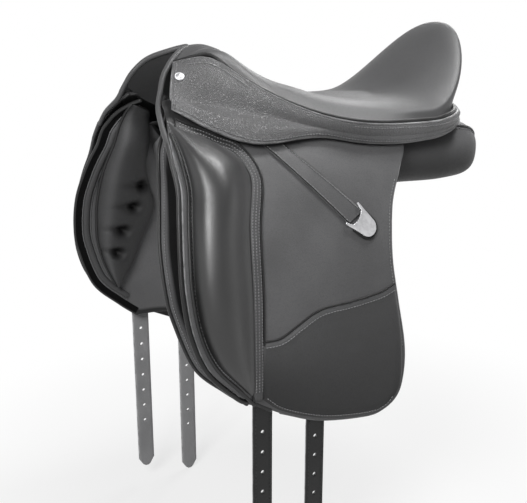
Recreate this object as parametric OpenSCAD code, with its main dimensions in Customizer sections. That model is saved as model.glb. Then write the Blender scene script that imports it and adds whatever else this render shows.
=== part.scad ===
// Dressage saddle: padded leather seat on a tree, lifting flaps and skirts, panels and girth straps.
// Millimetres. +X points forwards, +Y to the near (left) side, +Z up. The origin lies on the centre plane,
// under the deepest part of the seat, level with the underside of the panels.

/* [Seat] */
// How far the pommel's highest point lies ahead of the origin
pommel_x = 166; // [156:1:176]
// Height of the pommel
pommel_h = 175.5; // [170:0.5:182]
// How far the deepest part of the seat lies behind the origin
deep_back = 30; // [20:1:40]
// Height of the deepest part of the seat
deep_h = 106.5; // [102:0.5:112]
// How far the cantle's rim reaches behind the origin
cantle_back = 208; // [198:1:222]
// Height of the cantle's rim
cantle_h = 203; // [190:1:215]
// Width of the cantle's rim
cantle_w = 250; // [238:1:258]
// Width of the seat at its seam
seat_w = 268; // [260:1:276]
// Width of the seat at the pommel
pommel_w = 92; // [86:1:98]
// Height of the seat seam along the side
seam_h = 83; // [80:0.5:86]
// Thickness of the seat leather
seat_leather = 3; // [2:0.25:3.5]
// Thickness of the seat foam
foam_t = 12; // [8:0.5:13]
// Thickness of the tree
tree_t = 8; // [6:0.5:9]
// Radius of the welt round the seat seam
welt_r = 2.2; // [1.6:0.1:2.6]

/* [Barrel] */
// Half the width of the barrel that the flaps follow
barrel_half_w = 197; // [190:1:205]
// Height of that barrel under its widest level
barrel_half_h = 324; // [318:1:330]
// How far the widest level of the barrel lies under the origin
barrel_down = 200; // [190:1:210]

/* [Flap] */
// How far the flap reaches forwards
flap_front = 279; // [270:1:288]
// How far the flap's foremost point lies under the origin
flap_front_down = 73; // [60:1:85]
// How far the flap hangs under the origin
flap_drop = 267; // [255:1:275]
// How far the flap's narrowest point at the back lies ahead of the origin
flap_waist = 8; // [0:1:16]
// Thickness of the flap
flap_t = 4; // [3:0.25:5]
// Height of the knee block at its front
block_h = 24; // [16:1:30]
// Thickness of the facing leathers that are sewn to the flap
facing_t = 1.6; // [1.2:0.1:2]
// Radius of the piping along the flap's front
piping_r = 2.8; // [2:0.1:3.4]

/* [Skirt] */
// How far the skirt's lower edge stands out from the flap
skirt_proud = 7; // [6:0.5:10]
// Thickness of the skirt and of the band under the seat
skirt_t = 3.5; // [2.5:0.25:4]
// Diameter of a pommel button
button_d = 11; // [9:0.5:13]

/* [Stirrup bar] */
// Length of the straight bar
bar_l = 62; // [52:1:70]
// Diameter of the bar
bar_d = 8; // [7:0.25:8.5]
// Room between the bar and its plate, for the leather
bar_gap = 9; // [8:0.25:11]
// Thickness of the bar's plate
bar_plate_t = 3; // [2.5:0.25:4]
// Diameter of the catch pin
catch_pin_d = 3; // [2.5:0.1:3.4]

/* [Gullet] */
// Radius inside the steel arch
arch_r = 34; // [30:1:38]
// Thickness of the steel arch
arch_t = 3.5; // [3:0.25:4.5]
// Width of the steel arch
arch_w = 30; // [26:1:34]
// Length of each leg of the arch
arch_leg = 52; // [44:1:58]
// Diameter of a gullet screw
screw_d = 6; // [5:0.5:7]

/* [Panel] */
// Half the width of the channel between the panels
channel_half = 34; // [30:1:38]
// How far the panels reach behind the origin
panel_back = 221; // [210:1:230]
// Thickness of the panel leather
panel_leather = 2.5; // [2:0.25:3]
// How far the sweat flap lies inside the flap
sweat_in = 24; // [22:0.5:28]
// Thickness of the sweat flap
sweat_t = 3.5; // [3:0.25:4.5]
// Thickness of the padding on the sweat flap's front
pad_t = 20; // [12:1:26]
// Depth of the sewn dimples in that padding
dimple = 9; // [5:0.5:11]

/* [Girth straps] */
// Width of a girth strap
strap_w = 25.4; // [22:0.2:28]
// Thickness of a girth strap
strap_t = 4; // [3:0.25:4.5]
// Diameter of a buckle hole
hole_d = 5; // [4:0.25:6]
// Distance between buckle holes
hole_pitch = 26; // [22:0.5:28]
// Number of buckle holes in a strap
hole_count = 7; // [5:1:8]
// Distance from the last hole to the tip
tip_run = 81; // [60:1:90]
// Distance from the fold of a strap to its first hole
first_hole = 17; // [14:1:22]
// How far the front strap lies ahead of the origin
front_strap_x = 190; // [184:1:196]
// How far the rear strap lies ahead of the origin
rear_strap_x = 116; // [108:1:124]

/* [Hidden] */

$fn = 48;
// Room left between soft pieces that lie on each other
gap = 0.4;
// Room left between the two sides of a leather fold
fold_gap = 0.8;
// Running clearance of a pin in its bore, on the radius
run_clear = 0.05;
// Clearance of a screw or rivet in its hole, on the radius
hole_clear = 0.2;

leather = [0.13, 0.13, 0.14];
dark_leather = [0.07, 0.07, 0.08];
lining_colour = [0.05, 0.05, 0.05];
steel = [0.72, 0.73, 0.75];
foam_colour = [0.85, 0.8, 0.65];
tree_colour = [0.2, 0.2, 0.22];

// Curves and points

function lerp(a, b, t) = a + (b - a) * t;
function clamp(t) = max(0, min(1, t));
function mirror_y(p) = [p[0], -p[1], p[2]];
function unit(v) = v / norm(v);
function reversed(list) = [for (i = [len(list) - 1 : -1 : 0]) list[i]];

// A point at s, from 0 to 1, on a smooth curve through the points
function smooth_part(a, b, c, d, t) =
  0.5 * (2 * b + (c - a) * t + (2 * a - 5 * b + 4 * c - d) * t * t + (3 * b - a - 3 * c + d) * t * t * t);
function curve(points, s) =
  let (
    last = len(points) - 1,
    k = min(last - 1, floor(s * last)),
    before = k == 0 ? 2 * points[0] - points[1] : points[k - 1],
    after = k == last - 1 ? 2 * points[last] - points[last - 1] : points[k + 2]
  )
  smooth_part(before, points[k], points[k + 1], after, s * last - k);
function spread(points, n) = [for (i = [0 : n]) curve(points, i / n)];

// A patch between four edges in a plane: top and bottom run along u, front and rear along v
function patch(top, bottom, front, rear, nu, nv) = [
  for (j = [0 : nv]) [
    for (i = [0 : nu])
      let (u = i / nu, v = j / nv)
      lerp(curve(top, u), curve(bottom, u), v) + lerp(curve(front, v), curve(rear, v), u)
      - lerp(lerp(top[0], top[len(top) - 1], u), lerp(bottom[0], bottom[len(bottom) - 1], u), v)
  ]
];

// The unit normal of a grid of points at row j, column i
function grid_normal(g, j, i) =
  let (
    rows = len(g) - 1,
    cols = len(g[0]) - 1,
    along = g[min(rows, j + 1)][i] - g[max(0, j - 1)][i],
    across = g[j][min(cols, i + 1)] - g[j][max(0, i - 1)]
  )
  unit(cross(along, across));
function offset_grid(g, d) = [
  for (j = [0 : len(g) - 1]) [for (i = [0 : len(g[0]) - 1]) g[j][i] + d * grid_normal(g, j, i)]
];

// Closed solids from grids of points

// A sheet between two grids of the same size, the first one outside
module sheet(outer, inner) {
  rows = len(outer);
  cols = len(outer[0]);
  n = rows * cols;
  points = [for (r = outer) each r, for (r = inner) each r];
  function at(j, i) = j * cols + i;
  skin = [
    for (j = [0 : rows - 2], i = [0 : cols - 2]) each [
      [at(j, i), at(j, i + 1), at(j + 1, i + 1)],
      [at(j, i), at(j + 1, i + 1), at(j + 1, i)]
    ]
  ];
  back = [for (f = skin) [f[2] + n, f[1] + n, f[0] + n]];
  edge = concat(
    [for (i = [0 : cols - 1]) at(0, i)],
    [for (j = [1 : rows - 1]) at(j, cols - 1)],
    [for (i = [cols - 2 : -1 : 0]) at(rows - 1, i)],
    [for (j = [rows - 2 : -1 : 1]) at(j, 0)]
  );
  m = len(edge);
  rim = [
    for (k = [0 : m - 1]) each [
      [edge[(k + 1) % m], edge[k], edge[k] + n],
      [edge[(k + 1) % m], edge[k] + n, edge[(k + 1) % m] + n]
    ]
  ];
  polyhedron(points, concat(skin, back, rim), convexity = 8);
}

// A solid through closed rings of the same size, with flat ends
module loft(rings) {
  rows = len(rings);
  cols = len(rings[0]);
  points = [for (r = rings) each r];
  side = [
    for (j = [0 : rows - 2], i = [0 : cols - 1])
      let (a = j * cols + i, b = j * cols + (i + 1) % cols)
      each [[a, b, b + cols], [a, b + cols, a + cols]]
  ];
  first = [for (i = [1 : cols - 2]) [0, i + 1, i]];
  base = (rows - 1) * cols;
  last = [for (i = [1 : cols - 2]) [base, base + i, base + i + 1]];
  polyhedron(points, concat(side, first, last), convexity = 8);
}

// A round tube along a path
module tube(path, r, sides = 8) {
  last = len(path) - 1;
  rings = [
    for (k = [0 : last])
      let (
        along = unit(path[min(last, k + 1)] - path[max(0, k - 1)]),
        side = unit(cross(along, [0.31, 0.2, 0.93])),
        up = cross(side, along)
      )
      [for (i = [0 : sides - 1]) path[k] + r * (cos(360 * i / sides) * side + sin(360 * i / sides) * up)]
  ];
  loft(rings);
}

module off_side() mirror([0, 1, 0]) children();

// The barrel that flaps, straps and sweat flaps follow, set in from the flap's middle

barrel_power = 2.1;
// The barrel's top stays under the tree, wherever its widest level lies
barrel_top = 124;
function barrel_y(z, inset) =
  let (
    half_h = z > -barrel_down ? barrel_down + barrel_top : barrel_half_h,
    t = min(0.999, abs(z + barrel_down) / (half_h - inset))
  )
  (barrel_half_w - inset) * pow(1 - pow(t, barrel_power), 1 / barrel_power);
function on_barrel(p, inset) = [p[0], barrel_y(p[1], inset), p[1]];
function barrel_grid(plan, inset) = [for (r = plan) [for (p = r) on_barrel(p, inset)]];
// A sheet on the barrel over a plan of [x, z] points
module barrel_sheet(plan, outer_inset, inner_inset)
  sheet(barrel_grid(plan, outer_inset), barrel_grid(plan, inner_inset));

// The seat's surface

deep_x = -deep_back;
cantle_x = -cantle_back;
cantle_half = cantle_w / 2;
seat_half = seat_w / 2;
pommel_half = pommel_w / 2;
// Where the round of the cantle starts
round_x = -90;
cantle_run = round_x - cantle_x;
// The seat's front corner, where the seat seam meets the pommel welt
corner = [pommel_x + 53, pommel_half - 10, pommel_h - 19.5];
pommel_seam = [pommel_x + 10, pommel_half, pommel_h - 12.5];
// The seat seam at the back of the cantle
seam_back = [cantle_x + 24, 0, seam_h + 13];

// Rise of the centre line from the deepest point to the pommel, rounded over at the top
rise_power = 2.2;
rise_knee = 0.8;
function pommel_rise(t) =
  let (q = (t - rise_knee) / (1 - rise_knee), low = pow(rise_knee, rise_power))
  t <= rise_knee ? pow(max(0, t), rise_power)
  : low * (2 * pow(q, 3) - 3 * q * q + 1)
    + rise_power * low / rise_knee * (1 - rise_knee) * (pow(q, 3) - 2 * q * q + q)
    + 3 * q * q - 2 * pow(q, 3);
// How fast the wings of the pommel drop ahead of its highest point
wing_drop = 0.0055;
function centre_z(x) =
  x > pommel_x ? pommel_h - wing_drop * pow(x - pommel_x, 2)
  : x > deep_x ? deep_h + (pommel_h - deep_h) * pommel_rise((x - deep_x) / (pommel_x - deep_x))
  : deep_h + (cantle_h - deep_h) * pow(clamp((deep_x - x) / (deep_x - cantle_x)), 3.8);
// The seat seam ahead of the cantle's round
function seam_y(x) = lerp(pommel_half, seat_half, sin(90 * clamp((pommel_seam[0] - x) / pommel_seam[0])));
function seam_z(x) =
  seam_h + (pommel_seam[2] - seam_h) * pow(clamp((x - 2 * deep_x) / (pommel_seam[0] - 2 * deep_x)), 2.9);
// The shoulder, where the seat's top turns down to the seam; at the cantle it is the rim
function shoulder_blend(x) = let (t = clamp((45 - x) / (45 - round_x))) t * t * (3 - 2 * t);
function shoulder_y(x) =
  x >= round_x
  ? lerp(seam_y(x) * 0.72, cantle_half, shoulder_blend(x))
  : cantle_half * sqrt(max(0, 1 - pow((x - round_x) / cantle_run, 2)));
function shoulder_z(x) =
  x > pommel_seam[0] ? centre_z(x) - 3
  : x >= round_x ? lerp(seam_z(x), centre_z(x), lerp(0.76, 0.46, shoulder_blend(x)))
  : lerp(lerp(seam_z(round_x), centre_z(round_x), 0.46), cantle_h, 1 - pow(shoulder_y(x) / cantle_half, 2.2));
function top_z(x, y) =
  lerp(centre_z(x), shoulder_z(x), pow(clamp(abs(y) / max(1, shoulder_y(x))), 2.4));

// Stations round the near half of the seat: [seam point, shoulder point]
seam_stations = [pommel_seam[0], 152, 130, 107, 82, 55, 25, -8, -40, -66, round_x];
round_steps = 9;
function seam_point(x) = [x, seam_y(x), seam_z(x)];
function round_seam(a) = [
  lerp(round_x, seam_back[0], sin(a)), seam_y(round_x) * cos(a), lerp(seam_z(round_x), seam_back[2], sin(a))
];
function shoulder_point(x) = [x, shoulder_y(x), shoulder_z(x)];
function round_rim(a) = let (x = round_x - cantle_run * sin(a)) [x, cantle_half * cos(a), shoulder_z(x)];
front_middle = [pommel_x + 17, 0, pommel_h - 2.5];
// The front edge of the seat, from the middle to the near corner
front_edge = spread([front_middle, lerp(front_middle, corner, 0.45) + [-1, -1, 3], corner], 4);
near_stations = concat(
  [for (p = front_edge) [p, lerp(p, front_middle, 0.12) + [-6, 0, 1.5]]],
  [[lerp(corner, pommel_seam, 0.5) + [0, 0, 2], lerp(corner, pommel_seam, 0.5) + [-8, -10, 6]]],
  [for (x = seam_stations) [seam_point(x), shoulder_point(min(x, pommel_x))]],
  [for (k = [1 : round_steps]) let (a = 90 * k / round_steps) [round_seam(a), round_rim(a)]]
);
near_count = len(near_stations);
stations = concat(
  near_stations,
  [for (k = [near_count - 2 : -1 : 1]) [for (p = near_stations[k]) mirror_y(p)]]
);
// The middle of the seat, where all the lines across it start
seat_middle = [-20, 0];
layer_steps = 5;
// The foam and the tree stop short of the shoulder, most of all under the rim of the cantle
function layer_share(x) = lerp(0.76, 0.94, clamp((x - cantle_x) / (pommel_x - cantle_x)));
// A line from the middle of the seat to the shoulder, and on down to the seam
function top_point(shoulder, share) =
  let (q = lerp(seat_middle, [shoulder[0], shoulder[1]], share))
  [q[0], q[1], top_z(q[0], q[1])];
function seat_line(station) =
  let (
    seam = station[0],
    shoulder = station[1],
    share = layer_share(shoulder[0]),
    leaning = [shoulder[0] < round_x ? shoulder[0] - round_x : 0, shoulder[1], norm([shoulder[1], 20])],
    turn = lerp(shoulder, seam, 0.5) + 0.09 * norm(shoulder - seam) * unit(leaning),
    layered = [for (k = [1 : layer_steps]) top_point(shoulder, share * pow(k / layer_steps, 0.9))],
    last = top_point(shoulder, lerp(share, 1, 0.5)),
    side = [for (k = [1 : 3]) curve([last, shoulder, turn, seam], 1 / 3 + 2 / 3 * k / 3)]
  )
  concat(layered, [last, shoulder], side);
seat_lines = [for (s = stations) seat_line(s)];

// The normal of the seat's top surface
function top_normal(p) =
  let (
    step = 2,
    y = abs(p[1]),
    along = (top_z(p[0] + step, y) - top_z(p[0] - step, y)) / (2 * step),
    across = (top_z(p[0], y + step) - top_z(p[0], y - step)) / (2 * step)
  )
  unit([-along, -across * sign(p[1]), 1]);
// The normal of the seat lines below the shoulder, at line j, point i
function fan_normal(j, i) =
  let (
    n = len(seat_lines),
    last = len(seat_lines[0]) - 1,
    round_way = seat_lines[(j + 1) % n][i] - seat_lines[(j + n - 1) % n][i],
    outwards = seat_lines[j][min(last, i + 1)] - seat_lines[j][i - 1]
  )
  unit(cross(outwards, round_way));
// The seat lines sunk under the surface, out to m steps
function sunk_lines(depth, m) = [
  for (j = [0 : len(seat_lines) - 1]) [
    for (i = [0 : m - 1])
      seat_lines[j][i] - depth * (i <= layer_steps ? top_normal(seat_lines[j][i]) : fan_normal(j, i))
  ]
];
seat_top = [seat_middle[0], 0, centre_z(seat_middle[0])];

// A domed sheet over the seat, between two depths under its surface, out to a number of steps
module seat_layer(depth, thickness, m) {
  outer = sunk_lines(depth, m);
  inner = sunk_lines(depth + thickness, m);
  n = len(seat_lines);
  points = concat(
    [seat_top - [0, 0, depth], seat_top - [0, 0, depth + thickness]],
    [for (l = outer) each l],
    [for (l = inner) each l]
  );
  function at(j, i) = 2 + (j % n) * m + i;
  low = n * m;
  faces = [
    for (j = [0 : n - 1]) each concat(
      [
        [0, at(j + 1, 0), at(j, 0)],
        [1, at(j, 0) + low, at(j + 1, 0) + low],
        [at(j, m - 1), at(j + 1, m - 1), at(j, m - 1) + low],
        [at(j + 1, m - 1), at(j + 1, m - 1) + low, at(j, m - 1) + low]
      ],
      [
        for (i = [0 : m - 2]) each [
          [at(j, i), at(j + 1, i + 1), at(j, i + 1)],
          [at(j, i), at(j + 1, i), at(j + 1, i + 1)],
          [at(j + 1, i + 1) + low, at(j, i) + low, at(j, i + 1) + low],
          [at(j + 1, i) + low, at(j, i) + low, at(j + 1, i + 1) + low]
        ]
      ]
    )
  ];
  polyhedron(points, faces, convexity = 8);
}

module seat_cover() color(leather) seat_layer(0, seat_leather, len(seat_lines[0]));
module seat_foam() color(foam_colour) seat_layer(seat_leather + gap, foam_t, layer_steps);
module tree() color(tree_colour) seat_layer(seat_leather + foam_t + 2 * gap, tree_t, layer_steps);

// The floor that the tree leaves for what lies under it
stack = seat_leather + foam_t + tree_t + 2 * gap;
function tree_floor(x, y) = top_z(x, y) - (stack + gap) / top_normal([x, y])[2];

// Welt, band and skirts

// The seat seam from the near corner round the cantle to the off corner
corner_station = len(front_edge) - 1;
seam_path = [for (k = [corner_station : len(stations) - corner_station]) stations[k][0]];
seam_last = len(seam_path) - 1;
// The level direction out of the seat at a point of the seam
function seam_out(k) =
  let (along = seam_path[min(seam_last, k + 1)] - seam_path[max(0, k - 1)])
  unit([along[1], -along[0], 0]);
module seat_welt() color(dark_leather)
  tube([for (k = [0 : seam_last]) seam_path[k] + (welt_r + gap) * seam_out(k) - [0, 0, 0.3 * welt_r]], welt_r, 6);

// The straight fold of the skirt, from its front to its rear end
fold_stand = 1.5 * skirt_proud;
skirt_fold = [
  [corner[0] + 24, corner[1] + 40, corner[2] - 38],
  [78, barrel_y(80, -fold_stand), 80]
];
// The lower edge of the lifting skirt and of the fixed band, as [x, z] on the barrel
skirt_edge = [[242, 107], [234, 99], [221, 90], [202, 80], [181, 71], [155, 66], [117, 68], [80, 74]];
band_edge = [[76, 74], [35, 64], [0, 59], [-45, 57], [-71, 59]];
band_back = [cantle_x + 11, 0, seam_h - 5];
skirt_bulge = 5;
function on_skirt(p) = on_barrel(p, -skirt_proud);
band_start = on_skirt(band_edge[len(band_edge) - 1]);
function band_round(a) = [
  lerp(round_x, band_back[0], sin(a)), band_start[1] * cos(a), lerp(band_start[2], band_back[2], sin(a))
];
// Under the welt the band hangs from the seam, and it ends at the fold or at its own lower edge
function band_top(k) = seam_path[k] + (2 * welt_r + gap) * seam_out(k) * 0.8 - [0, 0, 1.8 * welt_r];
near_seam = [for (k = [0 : (seam_last / 2)]) k];
function band_low(k) =
  let (x = seam_path[k][0], y = seam_path[k][1])
  x > skirt_fold[1][0]
  ? lerp(skirt_fold[0], skirt_fold[1], clamp((corner[0] - x) / (corner[0] - skirt_fold[1][0])))
  : x > band_start[0]
  ? on_skirt(curve(band_edge, clamp((skirt_fold[1][0] - x) / (skirt_fold[1][0] - band_start[0]))))
  : band_round(90 - asin(clamp(y / seam_y(round_x))));
band_rows = 4;
function band_line(k) = [
  for (j = [0 : band_rows])
    let (v = j / band_rows)
    lerp(band_top(k), band_low(k), v) + skirt_bulge * sin(180 * v) * seam_out(k) * clamp(norm(band_low(k) - band_top(k)) / 50)
];
near_band = [for (k = near_seam) band_line(k)];
band_grid = concat(near_band, [for (k = [len(near_band) - 2 : -1 : 0]) [for (q = near_band[k]) mirror_y(q)]]);
module seat_band() color(leather) sheet(offset_grid(band_grid, skirt_t), band_grid);

skirt_cols = 16;
skirt_rows = 4;
skirt_grid = [
  for (i = [0 : skirt_cols])
    let (
      top = lerp(skirt_fold[0], skirt_fold[1], i / skirt_cols),
      low = on_skirt(curve(skirt_edge, i / skirt_cols)),
      down = unit(low - top)
    )
    [for (j = [0 : skirt_rows])
      lerp(top + down * (fold_gap + gap), low, j / skirt_rows) + [0, 0.7, 0.7] * 3 * sin(180 * j / skirt_rows)]
];
module skirt_near() color(leather) sheet(offset_grid(skirt_grid, skirt_t), skirt_grid);

// Pommel welt and buttons

welt_clear = welt_r + 2 * gap;
near_welt = [
  front_middle + [welt_clear + 1, 0, 0.6],
  lerp(front_middle, corner, 0.45) + [welt_clear + 1, -1, 3],
  corner + [welt_clear + 1, 0, 0.5],
  corner + [19, 11, -15],
  corner + [27, 20, -31],
  on_barrel([flap_front - 22.5, 106], 0),
  on_barrel([flap_front - 14.6, 89], 0),
  on_barrel([flap_front - 14.4, 71], 0)
];
welt_half = spread(near_welt, 14);
module pommel_welt() color(dark_leather)
  tube(concat(reversed(welt_half), [for (k = [1 : len(welt_half) - 1]) mirror_y(welt_half[k])]), piping_r, 6);

// A button sits high on the front of the band
button_at = lerp(lerp(band_grid[0][1], band_grid[0][2], 0.5), lerp(band_grid[1][1], band_grid[1][2], 0.5), 0.25);
button_out = -unit(grid_normal(band_grid, 0, 1) + grid_normal(band_grid, 0, 2));
module button() {
  tilt = acos(button_out[2]);
  turn = atan2(button_out[1], button_out[0]);
  translate(button_at + button_out * 2 * gap)
    rotate([0, tilt, turn])
      rotate_extrude() polygon(concat(
        [[0, 0], [button_d / 2, 0]],
        [for (a = [0 : 15 : 90]) [button_d / 2 * cos(a), 1 + button_d / 4 * sin(a)]]
      ));
}
module pommel_buttons() color(steel) {
  button();
  off_side() button();
}

// Flap

fold_front = [flap_front - 17, 65];
fold_rear = [-44, 50];
front_low = [flap_front - 53, -flap_front_down - 122];
rear_low = [flap_waist - 7, 17 - flap_drop];
flap_fore = [
  fold_front, [flap_front - 15.5, 30], [flap_front - 9, 0], [flap_front - 3, -35], [flap_front, -flap_front_down],
  [flap_front - 4, -flap_front_down - 44], [flap_front - 20, -flap_front_down - 86], front_low
];
flap_hind = [
  fold_rear, [flap_waist - 34, 25], [flap_waist - 11, -13], [flap_waist, -69], [flap_waist - 4, -124],
  [flap_waist - 14, -185], [flap_waist - 14, -225], rear_low
];
flap_base = [
  front_low, [171, 37 - flap_drop], [115, 13 - flap_drop], [47, -flap_drop], [20, 3 - flap_drop], rear_low
];
fold_drop = [0, fold_gap / 2];
flap_plan = patch(
  [fold_front - fold_drop, fold_rear - fold_drop], flap_base,
  concat([fold_front - fold_drop], [for (k = [1 : len(flap_fore) - 1]) flap_fore[k]]),
  concat([fold_rear - fold_drop], [for (k = [1 : len(flap_hind) - 1]) flap_hind[k]]),
  10, 14
);
module flap_near() color(leather) barrel_sheet(flap_plan, -flap_t / 2, flap_t / 2);

top_front = [flap_front - 21, 96];
top_rear = [-42, 66];
flap_top_plan = patch(
  [top_front, [110, 84], top_rear], [fold_front + fold_drop, fold_rear + fold_drop],
  [top_front, fold_front + fold_drop], [top_rear, fold_rear + fold_drop], 12, 3
);
module flap_top_near() color(leather) barrel_sheet(flap_top_plan, -flap_t / 2, flap_t / 2);

// Knee block, facing, strip and piping on the outside of the flap

// The seam behind the knee block, from the fold down to the flap's lower edge
knee_seam = [[185, 58], [171, 38], [175, 11], [187, -29], [196, -70], [201, -135], [202, 63 - flap_drop]];
block_fore = [
  [flap_front - 27, 61], [flap_front - 26, 30], [flap_front - 19, 0], [flap_front - 13, -35],
  [flap_front - 10, -flap_front_down], [flap_front - 14, -flap_front_down - 42],
  [flap_front - 29, -flap_front_down - 80], [flap_front - 56, -flap_front_down - 112]
];
block_top = [block_fore[0], lerp(block_fore[0], knee_seam[0], 0.5) + [0, 1], knee_seam[0]];
block_base = [block_fore[7], lerp(block_fore[7], knee_seam[6], 0.5) - [0, 2], knee_seam[6]];
block_cols = 10;
block_rows = 14;
block_plan = patch(block_top, block_base, block_fore, knee_seam, block_cols, block_rows);
// Height of the block over the flap: a roll at the front that runs out to the seam
function block_rise(u, v) =
  let (
    roll = u < 0.22 ? sin(90 * u / 0.22) : pow(cos(90 * (u - 0.22) / 0.78), 1.6),
    ends = pow(sin(90 * clamp(v / 0.35)), 0.8) * pow(sin(90 * clamp((1 - v) / 0.3)), 0.7)
  )
  1 + block_h * roll * ends;
on_flap = flap_t / 2 + gap;
module knee_block_near() color(leather) sheet(
  [for (j = [0 : block_rows]) [for (i = [0 : block_cols])
    on_barrel(block_plan[j][i], -on_flap - block_rise(i / block_cols, j / block_rows))]],
  barrel_grid(block_plan, -on_flap)
);

// The wavy seam across the flap
wave = [[197, -140], [171, -140], [144, -128], [116, -117], [74, -115], [32, -111], [flap_waist + 1, -104]];
facing_base = [
  [197, 62 - flap_drop], [171, 41 - flap_drop], [115, 17 - flap_drop], [47, 4 - flap_drop], [20, 7 - flap_drop],
  rear_low + [4, 4]
];
facing_plan = patch(
  wave, facing_base, [wave[0], [198, -170], facing_base[0]],
  [wave[6], [flap_waist - 8, -170], [flap_waist - 11, -225], facing_base[5]], 10, 5
);
module lower_facing_near() color(dark_leather) barrel_sheet(facing_plan, -on_flap - facing_t, -on_flap);

strip_top = [[141, 54], [112, 54]];
strip_end = [[66, -26], [42, -13]];
strip_plan = patch(strip_top, strip_end, [strip_top[0], strip_end[0]], [strip_top[1], strip_end[1]], 2, 8);
module keeper_strip_near() color(leather) barrel_sheet(strip_plan, -on_flap - facing_t, -on_flap);

piping_path = [
  for (k = [0 : 24])
    let (p = curve(flap_fore, 0.02 + 0.98 * k / 24), q = curve(flap_fore, 0.98 * k / 24), away = unit(p - q))
    on_barrel(p + (piping_r + gap) * [-away[1], away[0]], 0)
];
module flap_piping_near() color(dark_leather) tube(piping_path, piping_r, 6);

// Keeper plate, a flat metal shield at the end of the strip

plate_t = 2;
plate_half = 14;
plate_l = 30;
function barrel_normal(z, inset) =
  let (slope = (barrel_y(z + 1, inset) - barrel_y(z - 1, inset)) / 2) unit([0, 1, -slope]);
plate_mid = lerp(strip_end[0], strip_end[1], 0.5);
module keeper_plate_near() {
  down = unit(plate_mid - lerp(strip_top[0], strip_top[1], 0.5));
  middle = plate_mid + down * plate_l / 2;
  out = barrel_normal(middle[1], -on_flap);
  level = unit(cross(out, cross([down[0], 0, down[1]], out)));
  side = cross(out, level);
  at = on_barrel(middle, -on_flap) + out * (facing_t + 2 * gap) - level * plate_l / 2;
  round_r = plate_half - 2;
  color(steel)
    multmatrix([
      [level[0], side[0], out[0], at[0]],
      [level[1], side[1], out[1], at[1]],
      [level[2], side[2], out[2], at[2]],
      [0, 0, 0, 1]
    ])
      linear_extrude(plate_t) polygon(concat(
        [[-9, -plate_half], [-8, -plate_half - 2], [2, -plate_half - 0.5], [plate_l - round_r, -round_r]],
        [for (a = [-75 : 15 : 75]) [plate_l - round_r + round_r * cos(a), round_r * sin(a)]],
        [[plate_l - round_r, round_r], [2, plate_half + 0.5], [-8, plate_half + 2], [-9, plate_half]],
        [for (a = [-4 : 4]) [3 - 3 * pow(a / 4, 2), -(plate_half - 3) * a / 4]]
      ));
}

// Sweat flap and its padded front

sweat_front = flap_front + 12;
sweat_fore = [
  [flap_front - 22, 86], [flap_front - 12, 60], [sweat_front - 14, 42], [sweat_front - 7, 7], [sweat_front - 1, -32],
  [sweat_front, -flap_front_down], [sweat_front - 5, -flap_front_down - 34], [sweat_front - 26, -flap_front_down - 91],
  [sweat_front - 62, -flap_front_down - 125]
];
sweat_hind = [[40, 22], [34, -20], [30, -70], [28, -120], [28, -170], [40, 40 - flap_drop]];
sweat_base = [sweat_fore[8], [171, 51 - flap_drop], [115, 34 - flap_drop], [66, 30 - flap_drop], sweat_hind[5]];
sweat_plan = patch(
  [sweat_fore[0], [222, 80], [184, 54], [110, 38], sweat_hind[0]], sweat_base, sweat_fore, sweat_hind, 9, 13
);
module sweat_flap_near() color(leather) barrel_sheet(sweat_plan, sweat_in, sweat_in + sweat_t);

pad_inset = sweat_in + sweat_t + 3 * gap;
pad_fore = [
  [flap_front - 25, 62], [flap_front - 22, 14], [flap_front - 20, -20], [flap_front - 17, -50],
  [flap_front - 16, -flap_front_down - 10], [flap_front - 22, -flap_front_down - 50],
  [flap_front - 38, -flap_front_down - 92]
];
pad_hind = [[209, 48], [198, 4], [186, -32], [182, -62], [192, -98], [209, -140], [228, -flap_front_down - 97]];
pad_cols = 10;
pad_rows = 17;
pad_plan = patch(
  [pad_fore[0], pad_hind[0]], [pad_fore[6], pad_hind[6]], pad_fore, pad_hind, pad_cols, pad_rows
);
// Sewn dimples, at their place across and down the padding
dimples = [for (k = [0 : 3]) [0.56, 0.33 + 0.15 * k]];
function pad_rise(u, v) =
  let (
    crown = pow(sin(180 * u), 0.6) * pow(sin(180 * (0.06 + 0.88 * v)), 0.5),
    sewn = max([for (d = dimples) exp(-pow((u - d[0]) / 0.16, 2) - pow((v - d[1]) / 0.055, 2))])
  )
  1.5 + max(0, pad_t * crown - dimple * sewn);
module panel_front_near() color(dark_leather) sheet(
  barrel_grid(pad_plan, pad_inset),
  [for (j = [0 : pad_rows]) [for (i = [0 : pad_cols])
    on_barrel(pad_plan[j][i], pad_inset + pad_rise(i / pad_cols, j / pad_rows))]]
);

// Panels

// Stations along a panel: [x, middle y, middle z, half width, half height, tilt]
panel_front = flap_front - 84;
panel_stations = [
  [panel_front, 90, 37, 8, 7, 47],
  [panel_front - 8, 89, 37, 24, 12, 47],
  [panel_front - 22, 88, 36, 34, 17, 46],
  [152, 86, 35, 38, 20, 45],
  [105, 81, 38, 44, 30, 34],
  [55, 77, 40, 46, 37, 22],
  [0, 75, 39, 43, 42, 12],
  [-60, 75, 38, 43, 42, 6],
  [-120, 74, 36, 42, 43, 3],
  [-166, 72, 33, 40, 41.5, 0],
  [28 - panel_back, 68, 31.5, 35, 38.5, 0],
  [10 - panel_back, 64, 31, 27, 32, 0],
  [3 - panel_back, 61, 30, 16, 20, 0],
  [-panel_back, 59, 30, 7, 9, 0]
];
ring_steps = 18;
ring_power = 2.6;
function signed_pow(v, p) = sign(v) * pow(abs(v), p);
// Under the flap the panel stays inside the sweat flap; behind it only the flap itself limits it
function panel_limit(x, z) = barrel_y(z, lerp(flap_t / 2 + 14, pad_inset + 2 * gap, clamp((x + 10) / 60)));
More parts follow.
